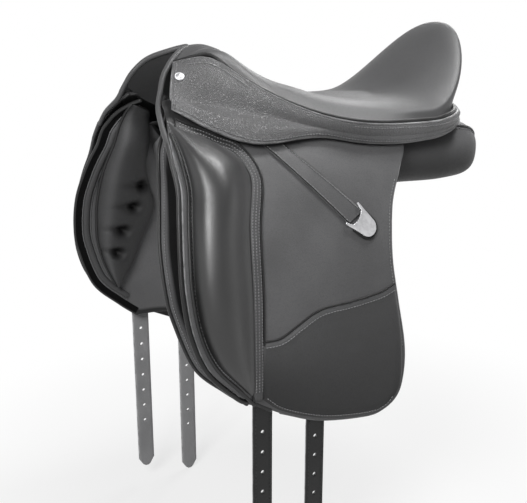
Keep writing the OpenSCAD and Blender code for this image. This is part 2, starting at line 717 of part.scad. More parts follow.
// A ring of the panel, with its sides set in; it opens at the top, where the cushion lies on the tree
function panel_ring(x_share, set_in, from_angle, to_angle) =
  let (s = curve(panel_stations, x_share), tilt = s[5])
  [
    for (k = [0 : ring_steps])
      let (
        a = lerp(from_angle, to_angle, k / ring_steps),
        across = max(0.8, s[3] - set_in) * signed_pow(cos(a), 2 / ring_power),
        up = max(0.8, s[4] - set_in) * signed_pow(sin(a), 2 / ring_power),
        z = s[2] + up * cos(tilt) - across * sin(tilt),
        y = max(channel_half + set_in, s[1] + across * cos(tilt) + up * sin(tilt)),
        y_in = min(y, panel_limit(s[0], z) - set_in)
      )
      [s[0], y_in, min(z, tree_floor(s[0], y_in) - gap - set_in)]
  ];
panel_rings = 22;
slit = 16;
module panel_cover_near() color(dark_leather) sheet(
  [for (k = [0 : panel_rings]) panel_ring(k / panel_rings, 0, 90 + slit, 450 - slit)],
  [for (k = [0 : panel_rings]) panel_ring(k / panel_rings, panel_leather, 90 + slit, 450 - slit)]
);
module panel_cushion_near() color(foam_colour) loft([
  for (k = [1 : panel_rings - 1])
    panel_ring(k / panel_rings, panel_leather + gap, 90 + slit, 450 - slit)
]);

// Gullet lining in the channel between the panels

lining_t = 1.2;
lining_x = [130, -120];
lining_half = channel_half - 6;
lining_rows = 12;
lining_cols = 4;
lining_grid = [
  for (k = [0 : lining_rows]) [
    for (i = [0 : lining_cols])
      let (x = lerp(lining_x[0], lining_x[1], k / lining_rows), y = lining_half * (2 * i / lining_cols - 1))
      [x, y, top_z(x, y)]
  ]
];
module gullet_lining() color(lining_colour)
  sheet(offset_grid(lining_grid, stack + 2 * gap + lining_t), offset_grid(lining_grid, stack + 2 * gap));

// Gullet plate, tree points and their screws

arch_x = pommel_x + 9;
// The arch bears on the tree's underside just behind its own rear edge
arch_bear = 5.5;
arch_top = tree_floor(arch_x - arch_w / 2 - arch_bear, 0);
arch_z = arch_top - arch_r - arch_t;
splay = 28;
// Metal pieces that lie face to face leave this much room
seat_clear = 0.1;
// In the frame of a leg, x points out of its face, y up the leg and z forward
module leg_frame() translate([0, 0, arch_z]) rotate([90, 0, 90]) rotate([0, 0, splay]) children();
// A point in that frame, out of the face and down the leg, as [y, z] in the frame of the part
function on_leg(out, down) = [
  out * cos(splay) + down * sin(splay), arch_z + out * sin(splay) - down * cos(splay)
];
module both_legs() {
  leg_frame() children();
  off_side() leg_frame() children();
}
module across_leg(out, down, x, r, length)
  translate([out, -down, x]) rotate([0, 90, 0]) cylinder(r = r, h = length);

point_t = 7;
point_in = arch_r + arch_t + seat_clear;
point_out = point_in + point_t;
screw_down = 14;
screw_x = [arch_x - 7, arch_x + 7];
screw_bite = 5.5;
screw_head = 4;
rivet_down = 34;
rivet_x = [arch_x - 8, arch_x + 8];
rivet_d = 6;
rivet_bite = 5;
rivet_head = 2;

arch_steps = 24;
// The line of the arch at a radius, from one end of its legs to the other
function arch_line(r) = concat(
  [[r * cos(splay) + arch_leg * sin(splay), r * sin(splay) - arch_leg * cos(splay)]],
  [for (k = [0 : arch_steps]) let (a = lerp(splay, 180 - splay, k / arch_steps)) [r * cos(a), r * sin(a)]],
  [[-r * cos(splay) - arch_leg * sin(splay), r * sin(splay) - arch_leg * cos(splay)]]
);
module arch_profile() polygon(concat(arch_line(arch_r + arch_t), reversed(arch_line(arch_r))));
module gullet_plate() color(steel) difference() {
  translate([arch_x - arch_w / 2, 0, arch_z]) rotate([90, 0, 90]) linear_extrude(arch_w) arch_profile();
  both_legs() for (x = screw_x) across_leg(arch_r - 1, screw_down, x, screw_d / 2 + hole_clear, arch_t + 2);
}
point_l = arch_leg + 8;
module tree_points() color(tree_colour) both_legs() difference() {
  translate([point_in, -point_l, arch_x - arch_w / 2]) cube([point_t, point_l, arch_w]);
  for (x = screw_x) across_leg(point_in - 1, screw_down, x, screw_d / 2 + run_clear, screw_bite + 2);
  for (x = rivet_x)
    across_leg(point_out - rivet_bite - 1, rivet_down, x, rivet_d / 2 + run_clear, rivet_bite + 2);
}
module gullet_screws() color(steel) both_legs() for (x = screw_x) {
  across_leg(arch_r - screw_head - seat_clear, screw_down, x, 0.8 * screw_d, screw_head);
  across_leg(arch_r - 1, screw_down, x, screw_d / 2, arch_t + seat_clear + screw_bite + 1);
}

// Stirrup bars with their rivets, catches and pins

bar_in = point_out + seat_clear;
bar_face = bar_in + bar_plate_t;
bar_out = bar_face + bar_gap + bar_d / 2;
bar_down = 48;
bar_front = arch_x + arch_w / 2 + 2;
post_l = 8;
bar_rear = bar_front - post_l - bar_l;
// The catch turns on a pin behind the end of the bar
catch_w = 6;
catch_h = 7.6;
ear_t = 4;
ear_room = 0.3;
pin_x = bar_rear - 0.6 - catch_w / 2;
pin_out = bar_face + catch_w / 2 + gap;
plate_rear = pin_x - 5;
module stirrup_bar_near() color(steel) leg_frame() {
  difference() {
    translate([bar_in, -bar_down - 8, plate_rear]) cube([bar_plate_t, 32, bar_front - plate_rear]);
    for (x = rivet_x) across_leg(bar_in - 1, rivet_down, x, rivet_d / 2 + hole_clear, bar_plate_t + 2);
  }
  translate([bar_face - 1, -bar_down - bar_d / 2, bar_front - post_l])
    cube([1 + bar_gap + bar_d, bar_d, post_l]);
  translate([bar_out, -bar_down, bar_rear]) cylinder(d = bar_d, h = bar_l + 1);
  for (side = [0, 1])
    difference() {
      translate([bar_face - 1, -bar_down - (catch_h / 2 + ear_room) * (2 * side - 1) - ear_t * side, plate_rear])
        cube([pin_out - bar_face + 4, ear_t, 10]);
      translate([pin_out, -bar_down - 20, pin_x])
        rotate([-90, 0, 0]) cylinder(r = catch_pin_d / 2 + run_clear, h = 40);
    }
}
module bar_catch_near() color(steel) leg_frame() difference() {
  union() {
    translate([pin_out, -bar_down - catch_h / 2, pin_x]) rotate([-90, 0, 0]) cylinder(d = catch_w, h = catch_h);
    translate([pin_out, -bar_down - catch_h / 2, pin_x - catch_w / 2])
      cube([bar_out + bar_d / 2 - pin_out, catch_h, catch_w]);
  }
  translate([pin_out, -bar_down - 20, pin_x])
    rotate([-90, 0, 0]) cylinder(r = catch_pin_d / 2 + run_clear, h = 40);
}
module catch_pins() color(steel) both_legs()
  translate([pin_out, -bar_down - catch_h / 2 - ear_room - ear_t, pin_x])
    rotate([-90, 0, 0]) cylinder(d = catch_pin_d, h = catch_h + 2 * ear_room + 2 * ear_t);
module stirrup_bar_rivets() color(steel) both_legs() for (x = rivet_x) {
  across_leg(bar_face + seat_clear, rivet_down, x, 0.8 * rivet_d, rivet_head);
  across_leg(point_out - rivet_bite, rivet_down, x, rivet_d / 2, rivet_bite + bar_plate_t + 2 * seat_clear + 1);
}

// Girth webs and straps

strap_in = flap_t / 2 + 4.5;
web_in = strap_in + strap_t + gap;
web_t = 2;
web_x = [front_strap_x + strap_w / 2 + 3, rear_strap_x - strap_w / 2 - 3];
web_low = 8;
web_high = 66;
web_down = point_l - 2;
function web_rows(depth) =
  let (top = on_leg(point_out + web_t - depth + 2 * gap, web_down))
  concat([top], [for (k = [0 : 6]) let (z = lerp(web_high, web_low, k / 6)) [barrel_y(z, web_in + depth), z]]);
function web_grid(depth) = [for (q = web_rows(depth)) [for (x = web_x) [x, q[0], q[1]]]];
module girth_web() sheet(web_grid(0), web_grid(web_t));
module girth_webs() color(lining_colour) {
  girth_web();
  off_side() girth_web();
}

strap_high = 30;
// Height of a strap's fold, at the flap's lower edge
front_fold = 31 - flap_drop;
rear_fold = 5 - flap_drop;
strap_rows = 12;
// At the fold the inner side stops higher, so that the strap can swing inwards too
fold_bevel = 1.6;
function strap_plan(x, low) = [
  for (k = [0 : strap_rows])
    let (z = lerp(strap_high, low, k / strap_rows)) [[x + strap_w / 2, z], [x - strap_w / 2, z]]
];
module strap_top(x, fold) sheet(
  barrel_grid(strap_plan(x, fold + fold_gap / 2), strap_in),
  barrel_grid(strap_plan(x, fold + fold_gap / 2 + fold_bevel), strap_in + strap_t)
);
module near_strap_tops() {
  strap_top(front_strap_x, front_fold);
  strap_top(rear_strap_x, rear_fold);
}
module girth_strap_tops() color(dark_leather) {
  near_strap_tops();
  off_side() near_strap_tops();
}
// The hanging part of a strap, with its pointed tip and its buckle holes
strap_l = first_hole + (hole_count - 1) * hole_pitch + tip_run;
tip_l = 13;
module strap(x, fold) color(dark_leather)
  translate([x, barrel_y(fold, strap_in), fold]) rotate([90, 0, 0]) difference() {
    linear_extrude(strap_t) polygon([
      [-strap_w / 2, -fold_gap / 2], [strap_w / 2, -fold_gap / 2], [strap_w / 2, tip_l - strap_l],
      [strap_w / 4, 3 - strap_l], [strap_w / 12, -strap_l], [-strap_w / 12, -strap_l], [-strap_w / 4, 3 - strap_l],
      [-strap_w / 2, tip_l - strap_l]
    ]);
    for (k = [0 : hole_count - 1])
      translate([0, -first_hole - k * hole_pitch, -1]) cylinder(d = hole_d, h = strap_t + 2);
  }
module girth_strap_front_near() strap(front_strap_x, front_fold);
module girth_strap_rear_near() strap(rear_strap_x, rear_fold);

// The off side mirrors the near side

module stirrup_bar_off() off_side() stirrup_bar_near();
module bar_catch_off() off_side() bar_catch_near();
module skirt_off() off_side() skirt_near();
module flap_top_off() off_side() flap_top_near();
module flap_off() off_side() flap_near();
module knee_block_off() off_side() knee_block_near();
module flap_piping_off() off_side() flap_piping_near();
module lower_facing_off() off_side() lower_facing_near();
module keeper_strip_off() off_side() keeper_strip_near();
module keeper_plate_off() off_side() keeper_plate_near();
module sweat_flap_off() off_side() sweat_flap_near();
module panel_cover_off() off_side() panel_cover_near();
module panel_cushion_off() off_side() panel_cushion_near();
module panel_front_off() off_side() panel_front_near();
module girth_strap_front_off() off_side() girth_strap_front_near();
module girth_strap_rear_off() off_side() girth_strap_rear_near();

tree();
gullet_plate();
tree_points();
gullet_screws();
stirrup_bar_near();
stirrup_bar_off();
stirrup_bar_rivets();
catch_pins();
bar_catch_near();
bar_catch_off();
seat_cover();
seat_foam();
seat_welt();
seat_band();
pommel_welt();
pommel_buttons();
skirt_near();
skirt_off();
flap_top_near();
flap_top_off();
flap_near();
flap_off();
knee_block_near();
knee_block_off();
flap_piping_near();
flap_piping_off();
lower_facing_near();
lower_facing_off();
keeper_strip_near();
keeper_strip_off();
keeper_plate_near();
keeper_plate_off();
sweat_flap_near();
sweat_flap_off();
panel_cover_near();
panel_cover_off();
panel_cushion_near();
panel_cushion_off();
panel_front_near();
panel_front_off();
gullet_lining();
girth_webs();
girth_strap_tops();
girth_strap_front_near();
girth_strap_rear_near();
girth_strap_front_off();
girth_strap_rear_off();
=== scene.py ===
import math

import bmesh
import bpy
import numpy as np
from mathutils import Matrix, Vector


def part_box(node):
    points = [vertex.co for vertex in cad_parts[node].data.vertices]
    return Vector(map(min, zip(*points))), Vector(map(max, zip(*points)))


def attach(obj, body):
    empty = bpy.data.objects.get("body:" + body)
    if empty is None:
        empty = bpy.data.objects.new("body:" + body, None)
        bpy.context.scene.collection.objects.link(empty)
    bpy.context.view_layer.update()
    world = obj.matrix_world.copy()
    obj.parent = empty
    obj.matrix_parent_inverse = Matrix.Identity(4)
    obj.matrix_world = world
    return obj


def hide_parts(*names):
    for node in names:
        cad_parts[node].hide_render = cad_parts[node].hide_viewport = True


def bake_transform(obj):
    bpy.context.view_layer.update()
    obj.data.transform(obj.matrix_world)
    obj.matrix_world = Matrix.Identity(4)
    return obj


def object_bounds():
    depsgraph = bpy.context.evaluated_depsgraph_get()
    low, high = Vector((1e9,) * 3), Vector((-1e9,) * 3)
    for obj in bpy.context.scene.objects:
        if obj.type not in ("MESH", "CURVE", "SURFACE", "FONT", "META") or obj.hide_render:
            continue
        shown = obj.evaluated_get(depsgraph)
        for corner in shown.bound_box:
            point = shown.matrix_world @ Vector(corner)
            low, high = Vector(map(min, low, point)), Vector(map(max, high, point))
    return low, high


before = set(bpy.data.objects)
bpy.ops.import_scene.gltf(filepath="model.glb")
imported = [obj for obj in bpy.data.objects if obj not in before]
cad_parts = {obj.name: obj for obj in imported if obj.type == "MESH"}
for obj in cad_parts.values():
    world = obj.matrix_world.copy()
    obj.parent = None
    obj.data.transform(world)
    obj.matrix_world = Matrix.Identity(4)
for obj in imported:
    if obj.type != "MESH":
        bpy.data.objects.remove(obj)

cad_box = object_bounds()
MM = 0.001
SIDES = (("near", 1.0), ("off", -1.0))
MIRROR = np.array([1, -1, 1])
QUARTER, TURN = math.pi / 2, 2 * math.pi
# Distance to the border for meshes without one
NO_RIM = 100.0

# Sizes shared with the solids
pommel_x, pommel_h, deep_x, deep_h = 166.0, 175.5, -30.0, 106.5
cantle_x, cantle_h, cantle_half, seat_half, pommel_half = -208.0, 203.0, 125.0, 134.0, 46.0
seam_h, seat_leather, foam_t, tree_t, welt_r, gap = 83.0, 3.0, 12.0, 8.0, 2.2, 0.4
barrel_half_w, barrel_half_h, barrel_down, barrel_top, barrel_power = 197.0, 324.0, 200.0, 124.0, 2.1
flap_front, front_down, flap_drop, waist, flap_t = 279.0, 73.0, 267.0, 8.0, 4.0
block_h, facing_t, piping_r, skirt_proud, skirt_t = 24.0, 1.6, 2.8, 7.0, 3.5
channel_half, panel_back, sweat_in, sweat_t, pad_t = 34.0, 221.0, 24.0, 3.5, 20.0
strap_w, strap_t, hole_r, hole_pitch, hole_count, tip_run, first_hole = 25.4, 4.0, 2.5, 26.0, 7, 81.0, 17.0
front_strap_x, rear_strap_x = 190.0, 116.0
on_flap = flap_t / 2 + gap
stack = seat_leather + foam_t + tree_t + 2 * gap


# Curves, patches and the barrel

def lerp(a, b, t):
    return a + (b - a) * t


def clamp(t):
    return np.clip(t, 0.0, 1.0)


def smooth(t):
    t = clamp(t)
    return t * t * (3 - 2 * t)


def fade(value, start, end):
    return smooth((value - start) / (end - start))


def unit(v):
    return v / np.maximum(1e-9, np.linalg.norm(v, axis=-1, keepdims=True))


def cubic(a, b, c, d, t):
    return 0.5 * (2 * b + (c - a) * t + (2 * a - 5 * b + 4 * c - d) * t**2 + (3 * b - a - 3 * c + d) * t**3)


def curve(points, s):
    p = np.asarray(points, float)
    s = np.atleast_1d(np.asarray(s, float))
    last = len(p) - 1
    k = np.minimum(last - 1, np.floor(s * last).astype(int))
    e = np.vstack([2 * p[0] - p[1], p, 2 * p[-1] - p[-2]])
    return cubic(e[k], e[k + 1], e[k + 2], e[k + 3], (s * last - k)[:, None])


def closed_curve(points, per):
    p = np.asarray(points, float)
    n = len(p)
    s = np.arange(n * per) / per
    k = s.astype(int)
    return cubic(p[(k - 1) % n], p[k % n], p[(k + 1) % n], p[(k + 2) % n], (s - k)[:, None])


def run_along(path):
    return np.concatenate([[0], np.cumsum(np.linalg.norm(np.diff(path, axis=0), axis=1))])


def read_at(s, run, values):
    return np.stack([np.interp(s, run, column) for column in values.T], -1)


def beside(points, s, distance):
    step = 0.002
    along = unit(curve(points, np.minimum(1, s + step)) - curve(points, np.maximum(0, s - step)))
    return curve(points, s) + distance * np.stack([-along[:, 1], along[:, 0]], 1)


def level_out(along):
    return unit(np.stack([along[:, 1], -along[:, 0], 0 * along[:, 0]], 1))


def eased_round(values, passes):
    for _ in range(passes):
        values = (np.roll(values, 1, 0) + 2 * values + np.roll(values, -1, 0)) / 4
    return values


def relaxed(grid, passes):
    for _ in range(passes):
        grid[1:-1] += 0.5 * ((grid[:-2] + grid[2:]) / 2 - grid[1:-1])
    return grid


def patch(top, bottom, front, rear, us, vs):
    t, b = curve(top, us)[None], curve(bottom, us)[None]
    f, r = curve(front, vs)[:, None], curve(rear, vs)[:, None]
    u, v = us[None, :, None], vs[:, None, None]
    corners = lerp(lerp(t[:, :1], t[:, -1:], u), lerp(b[:, :1], b[:, -1:], u), v)
    return lerp(t, b, v) + lerp(f, r, u) - corners


def edged(n, near=(0.0, 0.006, 0.018)):
    inner = np.linspace(0.034, 0.966, n)
    return np.concatenate([near, inner, 1 - np.array(near[::-1])])


def barrel_y(z, inset):
    half_h = np.where(np.asarray(z) > -barrel_down, barrel_down + barrel_top, barrel_half_h)
    t = np.minimum(0.999, np.abs(z + barrel_down) / (half_h - inset))
    return (barrel_half_w - inset) * (1 - t**barrel_power) ** (1 / barrel_power)


def on_barrel(plan, inset):
    plan = np.asarray(plan, float)
    x, z = plan[..., 0], plan[..., 1]
    return np.stack([x, barrel_y(z, inset), z], -1)


def barrel_normal(z, inset):
    slope = (barrel_y(z + 1, inset) - barrel_y(z - 1, inset)) / 2
    return unit(np.stack([0 * z, 0 * z + 1, -slope], -1))


# The seat's surface

round_x = -90.0
cantle_run = round_x - cantle_x
corner = np.array([pommel_x + 53, pommel_half - 10, pommel_h - 19.5])
pommel_seam = np.array([pommel_x + 10, pommel_half, pommel_h - 12.5])
seam_back = np.array([cantle_x + 24, 0, seam_h + 13])
rise_power, rise_knee, wing_drop = 2.2, 0.8, 0.0055
dish_power, seam_power, cantle_power, crown_power = 3.8, 2.9, 2.2, 2.4
shoulder_from, shoulder_in, shoulder_front, shoulder_rear = 45.0, 0.72, 0.76, 0.46
CANTLE_STEPS = 9


def pommel_rise(t):
    q = (t - rise_knee) / (1 - rise_knee)
    low = rise_knee**rise_power
    top = (
        low * (2 * q**3 - 3 * q * q + 1)
        + rise_power * low / rise_knee * (1 - rise_knee) * (q**3 - 2 * q * q + q)
        + 3 * q * q - 2 * q**3
    )
    return np.where(t <= rise_knee, np.maximum(t, 0) ** rise_power, top)


def centre_z(x):
    ahead = pommel_h - wing_drop * (x - pommel_x) ** 2
    middle = deep_h + (pommel_h - deep_h) * pommel_rise((x - deep_x) / (pommel_x - deep_x))
    back = deep_h + (cantle_h - deep_h) * clamp((deep_x - x) / (deep_x - cantle_x)) ** dish_power
    return np.where(x > pommel_x, ahead, np.where(x > deep_x, middle, back))


def seam_y(x):
    return lerp(pommel_half, seat_half, np.sin(QUARTER * clamp((pommel_seam[0] - x) / pommel_seam[0])))


def seam_z(x):
    share = clamp((x - 2 * deep_x) / (pommel_seam[0] - 2 * deep_x))
    return seam_h + (pommel_seam[2] - seam_h) * share**seam_power


def shoulder_blend(x):
    return fade(x, shoulder_from, round_x)


def shoulder_y(x):
    ahead = lerp(seam_y(x) * shoulder_in, cantle_half, shoulder_blend(x))
    back = cantle_half * np.sqrt(np.maximum(0, 1 - ((x - round_x) / cantle_run) ** 2))
    return np.where(x >= round_x, ahead, back)


def shoulder_z(x):
    ahead = lerp(seam_z(x), centre_z(x), lerp(shoulder_front, shoulder_rear, shoulder_blend(x)))
    start = lerp(seam_z(round_x), centre_z(round_x), shoulder_rear)
    back = lerp(start, cantle_h, 1 - clamp(shoulder_y(x) / cantle_half) ** cantle_power)
    return np.where(x > pommel_seam[0], centre_z(x) - 3, np.where(x >= round_x, ahead, back))


def top_z(x, y):
    share = clamp(np.abs(y) / np.maximum(1, shoulder_y(x)))
    return lerp(centre_z(x), shoulder_z(x), share**crown_power)


def tree_floor(x, y):
    step = 2.0
    along = (top_z(x + step, y) - top_z(x - step, y)) / (2 * step)
    across = (top_z(x, y + step) - top_z(x, y - step)) / (2 * step)
    return top_z(x, y) - (stack + gap) * np.sqrt(along**2 + across**2 + 1)


front_middle = np.array([pommel_x + 17, 0, pommel_h - 2.5])
front_edge = curve([front_middle, lerp(front_middle, corner, 0.45) + [-1, -1, 3], corner], np.linspace(0, 1, 5))
near_stations = [[p, lerp(p, front_middle, 0.12) + [-6, 0, 1.5]] for p in front_edge]
half_way = lerp(corner, pommel_seam, 0.5)
near_stations.append([half_way + [0, 0, 2], half_way + [-8, -10, 6]])
for x in (pommel_seam[0], 152.0, 130.0, 107.0, 82.0, 55.0, 25.0, -8.0, -40.0, -66.0, round_x):
    s = min(x, pommel_x)
    near_stations.append([
        np.array([x, seam_y(x), seam_z(x)]),
        np.array([s, float(shoulder_y(s)), float(shoulder_z(s))]),
    ])
for k in range(1, CANTLE_STEPS + 1):
    a = QUARTER * k / CANTLE_STEPS
    x = round_x - cantle_run * math.sin(a)
    near_stations.append([
        np.array([
            lerp(round_x, seam_back[0], math.sin(a)), seam_y(round_x) * math.cos(a),
            lerp(seam_z(round_x), seam_back[2], math.sin(a)),
        ]),
        np.array([x, cantle_half * math.cos(a), float(shoulder_z(x))]),
    ])
near_stations = np.array(near_stations, float)
off_stations = near_stations[-2:0:-1] * MIRROR
PER = 6
loop = closed_curve(np.concatenate([near_stations, off_stations]).reshape(-1, 6), PER).reshape(-1, 2, 3)
seams, shoulders = loop[:, 0], loop[:, 1]
corner_at = (len(front_edge) - 1) * PER
rear_at = (len(near_stations) - 1) * PER
seat_middle = np.array([-20.0, 0.0])
# Steps out from the middle, and share of the way to the shoulder where the roll starts
TOP_STEPS, SIDE_STEPS, ROLL_FROM = 12, 46, 0.34
ROLL_PASSES, CREST_PASSES, LOSS_PASSES, POMMEL_PASSES = 420, 60, 8, 25
CREST_KEPT = 0.95


def even(guides, count):
    made = []
    for line in guides:
        run = run_along(line)
        made.append(read_at(np.linspace(0, run[-1], count), run, line))
    return np.array(made)


def seat_top(shares):
    q = lerp(seat_middle, shoulders[:, None, :2], shares[None, :, None])
    z = top_z(q[..., 0], q[..., 1])
    z = z + (shoulders[:, 2] - top_z(shoulders[:, 0], shoulders[:, 1]))[:, None] * shares[None] ** 6
    return np.concatenate([q, z[..., None]], -1)


def plain_roll(behind, outward):
    top = seat_top(np.linspace(ROLL_FROM, 1, 40))
    leaning = np.stack([
        np.minimum(0, shoulders[:, 0] - round_x), shoulders[:, 1], np.hypot(shoulders[:, 1], 20)], -1)
    drop = np.linalg.norm(shoulders - seams, axis=1)[:, None]
    turn = lerp(shoulders, seams, 0.5) + 0.09 * drop * unit(leaning) + behind * outward
    tuck = seams - behind * (1.5 * outward + [0, 0, 1.8])
    guides = np.stack([top[:, -5], shoulders, turn, tuck], 1)
    side = np.stack([curve(line, 1 / 3 + 2 / 3 * np.linspace(0, 1, 30)[1:]) for line in guides])
    return even(np.concatenate([top, side], 1), SIDE_STEPS + 1)


def crest_restored(roll, plain, behind):
    reach = np.linalg.norm(plain - shoulders[:, None], axis=2)
    at = eased_round(np.minimum(reach.argmin(1), SIDE_STEPS - 8).astype(float), CREST_PASSES)
    k = np.floor(at).astype(int)
    rows = np.arange(len(roll))
    crest = lerp(roll[rows, k], roll[rows, k + 1], (at - k)[:, None])
    lost = eased_round(behind * (shoulders - crest), LOSS_PASSES)
    step, at = np.arange(SIDE_STEPS + 1)[None], at[:, None]
    window = np.minimum(smooth(step / at), smooth((SIDE_STEPS - step) / (SIDE_STEPS - at)))
    return roll + CREST_KEPT * lost[:, None] * window[..., None]


def pommel_softened(grid):
    for _ in range(POMMEL_PASSES):
        around = (np.roll(grid, 1, 0) + np.roll(grid, -1, 0)) / 2
        out = grid.copy()
        out[:, 1:-1] = (grid[:, :-2] + grid[:, 2:]) / 2
        weight = 0.5 * fade(grid[..., :1], 80, 140)
        weight[:, -1] = 0
        weight[:, 0] *= 0.5
        grid = grid + weight * ((around + out) / 2 - grid)
    return grid


def seat_surface():
    behind = fade(seams[:, :1], 150, 90)
    plain = plain_roll(behind, level_out(np.roll(seams, -1, 0) - np.roll(seams, 1, 0)))
    roll = relaxed(plain.swapaxes(0, 1).copy(), ROLL_PASSES).swapaxes(0, 1)
    roll = crest_restored(lerp(plain, roll, behind[:, None]), plain, behind)
    inner = seat_top(np.arange(1, TOP_STEPS + 1) / TOP_STEPS * ROLL_FROM)
    return pommel_softened(np.concatenate([inner, roll[:, 1:]], 1))


# Meshes from grids

def grid_normals(g):
    return unit(np.cross(np.gradient(g, axis=0), np.gradient(g, axis=1)))


def rim_distance(g):
    def from_start(a):
        step = np.linalg.norm(np.diff(a, axis=1), axis=2)
        return np.concatenate([np.zeros((len(a), 1)), np.cumsum(step, 1)], 1)
    across, down = from_start(g), from_start(g.transpose(1, 0, 2)).T
    return np.minimum.reduce([across, across[:, -1:] - across, down, down[-1:] - down])


def quads(rows, cols):
    j, i = np.meshgrid(np.arange(rows - 1), np.arange(cols - 1), indexing="ij")
    a = (j * cols + i).ravel()
    return np.stack([a, a + 1, a + cols + 1, a + cols], 1)


# Turns of the rounded rim, and how far it stands out for its half thickness
ROUND, RIM_BULGE = np.radians([35, 70, 110, 145]), 0.7


def border(rows, cols):
    j = np.concatenate([
        np.zeros(cols, int), np.arange(1, rows), np.full(cols - 1, rows - 1), np.arange(rows - 2, 0, -1)
    ])
    i = np.concatenate([
        np.arange(cols), np.full(rows - 1, cols - 1), np.arange(cols - 2, -1, -1), np.zeros(rows - 2, int)
    ])
    return j, i


def sheet_shade(outer, inner=None):
    j, i = border(*outer.shape)
    inner = outer if inner is None else inner + 0 * outer
    return np.concatenate([outer.ravel(), inner.ravel()] + [outer[j, i]] * len(ROUND))


def bands(chain):
    return np.concatenate([
        np.stack([a, np.roll(a, -1), np.roll(b, -1), b], 1) for a, b in zip(chain[:-1], chain[1:])])


def sheet_shape(outer, inner):
    rows, cols = outer.shape[:2]
    n = rows * cols
    j, i = border(rows, cols)
    middle, half = (outer[j, i] + inner[j, i]) / 2, (outer[j, i] - inner[j, i]) / 2
    away = outer[j, i] - outer[np.clip(j, 1, rows - 2), np.clip(i, 1, cols - 2)]
    across = unit(half)
    away = unit(away - (away * across).sum(1, keepdims=True) * across)
    r = np.linalg.norm(half, axis=1, keepdims=True)
    rings = [middle + half * math.cos(a) + away * r * math.sin(a) * RIM_BULGE for a in ROUND]
    verts = np.concatenate([outer.reshape(-1, 3), inner.reshape(-1, 3), *rings])
    inside = [rim_distance(outer).ravel(), rim_distance(inner).ravel()]
    rim = np.concatenate(inside + [np.zeros(len(j) * len(ROUND))])
    edge = j * cols + i
    m = len(edge)
    chain = [edge] + [2 * n + k * m + np.arange(m) for k in range(len(ROUND))] + [edge + n]
    faces = np.concatenate([quads(rows, cols)[:, ::-1], quads(rows, cols) + n, bands(chain)])
    return verts, faces.tolist(), rim


def frames(path):
    along = unit(np.gradient(path, axis=0))
    side = np.zeros_like(path)
    ref = unit(np.cross(along[0], [0.31, 0.2, 0.93]))
    for k in range(len(path)):
        ref = unit(ref - (ref @ along[k]) * along[k])
        side[k] = ref
    return along, side, np.cross(side, along)


def circles(side, up, sides):
    a = (TURN * np.arange(sides) / sides)[None, :, None]
    return np.cos(a) * side[:, None] + np.sin(a) * up[:, None]


def ring_faces(count, sides, base=0):
    faces = []
    for k in range(count - 1):
        for i in range(sides):
            a, b = base + k * sides + i, base + k * sides + (i + 1) % sides
            faces.append([a, b, b + sides, a + sides])
    return faces


def capped_faces(count, sides, base=0):
    first = [base + i for i in range(sides)]
    return ring_faces(count, sides, base) + [first[::-1], [(count - 1) * sides + i for i in first]]


def bare(verts, faces):
    return verts, faces, np.full(len(verts), NO_RIM)


def tube_shape(path, r, sides=12):
    along, side, up = frames(path)
    ring = r * circles(side, up, sides)
    first = [path[0] + ring[0] * c - along[0] * r * s for c, s in ((0.35, 0.9), (0.8, 0.6))]
    last = [path[-1] + ring[-1] * c + along[-1] * r * s for c, s in ((0.8, 0.6), (0.35, 0.9))]
    rings = np.concatenate([np.stack(first), path[:, None] + ring, np.stack(last)])
    return bare(rings.reshape(-1, 3), capped_faces(len(rings), sides))


# Rings of one stitch: place along it, lift and thickness
STITCH = ((-0.5, -0.9, 0.55), (-0.3, 0.1, 1.0), (0, 0.35, 1.1), (0.3, 0.1, 1.0), (0.5, -0.9, 0.55))


def stitch_shape(path, normals, pitch=4.0, length=2.9, r=0.5, sides=6):
    line = np.concatenate([path, normals], 1)
    run = run_along(line)
    count = max(2, int(run[-1] / pitch))
    both = read_at((np.arange(count) + 0.5) * run[-1] / count, run, line)
    mid, up = both[:, :3], unit(both[:, 3:])
    along = unit(np.gradient(mid, axis=0))
    ring = circles(unit(np.cross(up, along)), up, sides)
    rings = [
        (mid + along * length * t + up * r * (lift + 0.6))[:, None] + size * r * ring
        for t, lift, size in STITCH]
    faces = []
    for k in range(count):
        faces += capped_faces(len(STITCH), sides, k * len(STITCH) * sides)
    return bare(np.stack(rings, 1).reshape(-1, 3), faces)


def joined(shapes):
    verts, faces, rims, base = [], [], [], 0
    for v, f, r in shapes:
        verts.append(v)
        faces += [[k + base for k in face] for face in f]
        rims.append(r)
        base += len(v)
    return np.concatenate(verts), faces, np.concatenate(rims)


def fan_shape(rings, first, last):
    count, sides = rings.shape[:2]
    faces = ring_faces(count, sides)
    for i in range(sides):
        m = (i + 1) % sides
        faces.append([m, i, count * sides])
        faces.append([(count - 1) * sides + i, (count - 1) * sides + m, count * sides + 1])
    return bare(np.concatenate([rings.reshape(-1, 3), [first, last]]), faces)


def laid(plan, outer, inner, place=on_barrel):
    return sheet_shape(place(plan, outer), place(plan, inner))


def banded(points, s, distances):
    return np.stack([beside(points, s, d) for d in distances], 1)


def piece(
        name, shape, material, stands_for=(), body="saddle", bend=None, shade=1.0,
        sign=1.0):
    verts, faces, rim = shape
    mesh = bpy.data.meshes.new(name)
    mesh.from_pydata((verts * [1, sign, 1] * MM).tolist(), [], faces)
    bm = bmesh.new()
    bm.from_mesh(mesh)
    bmesh.ops.recalc_face_normals(bm, faces=bm.faces)
    bm.to_mesh(mesh)
    bm.free()
    mesh.polygons.foreach_set("use_smooth", [True] * len(mesh.polygons))
    for key, values in (("rim", rim), ("shade", shade * np.ones(len(verts)))):
        mesh.attributes.new(key, "FLOAT", "POINT").data.foreach_set("value", np.asarray(values, np.float32))
    obj = bpy.data.objects.new(name, mesh)
    bpy.context.scene.collection.objects.link(obj)
    mesh.materials.append(material)
    if bend:
        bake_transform(obj)
    else:
        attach(obj, body)
    if stands_for:
        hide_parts(*stands_for)


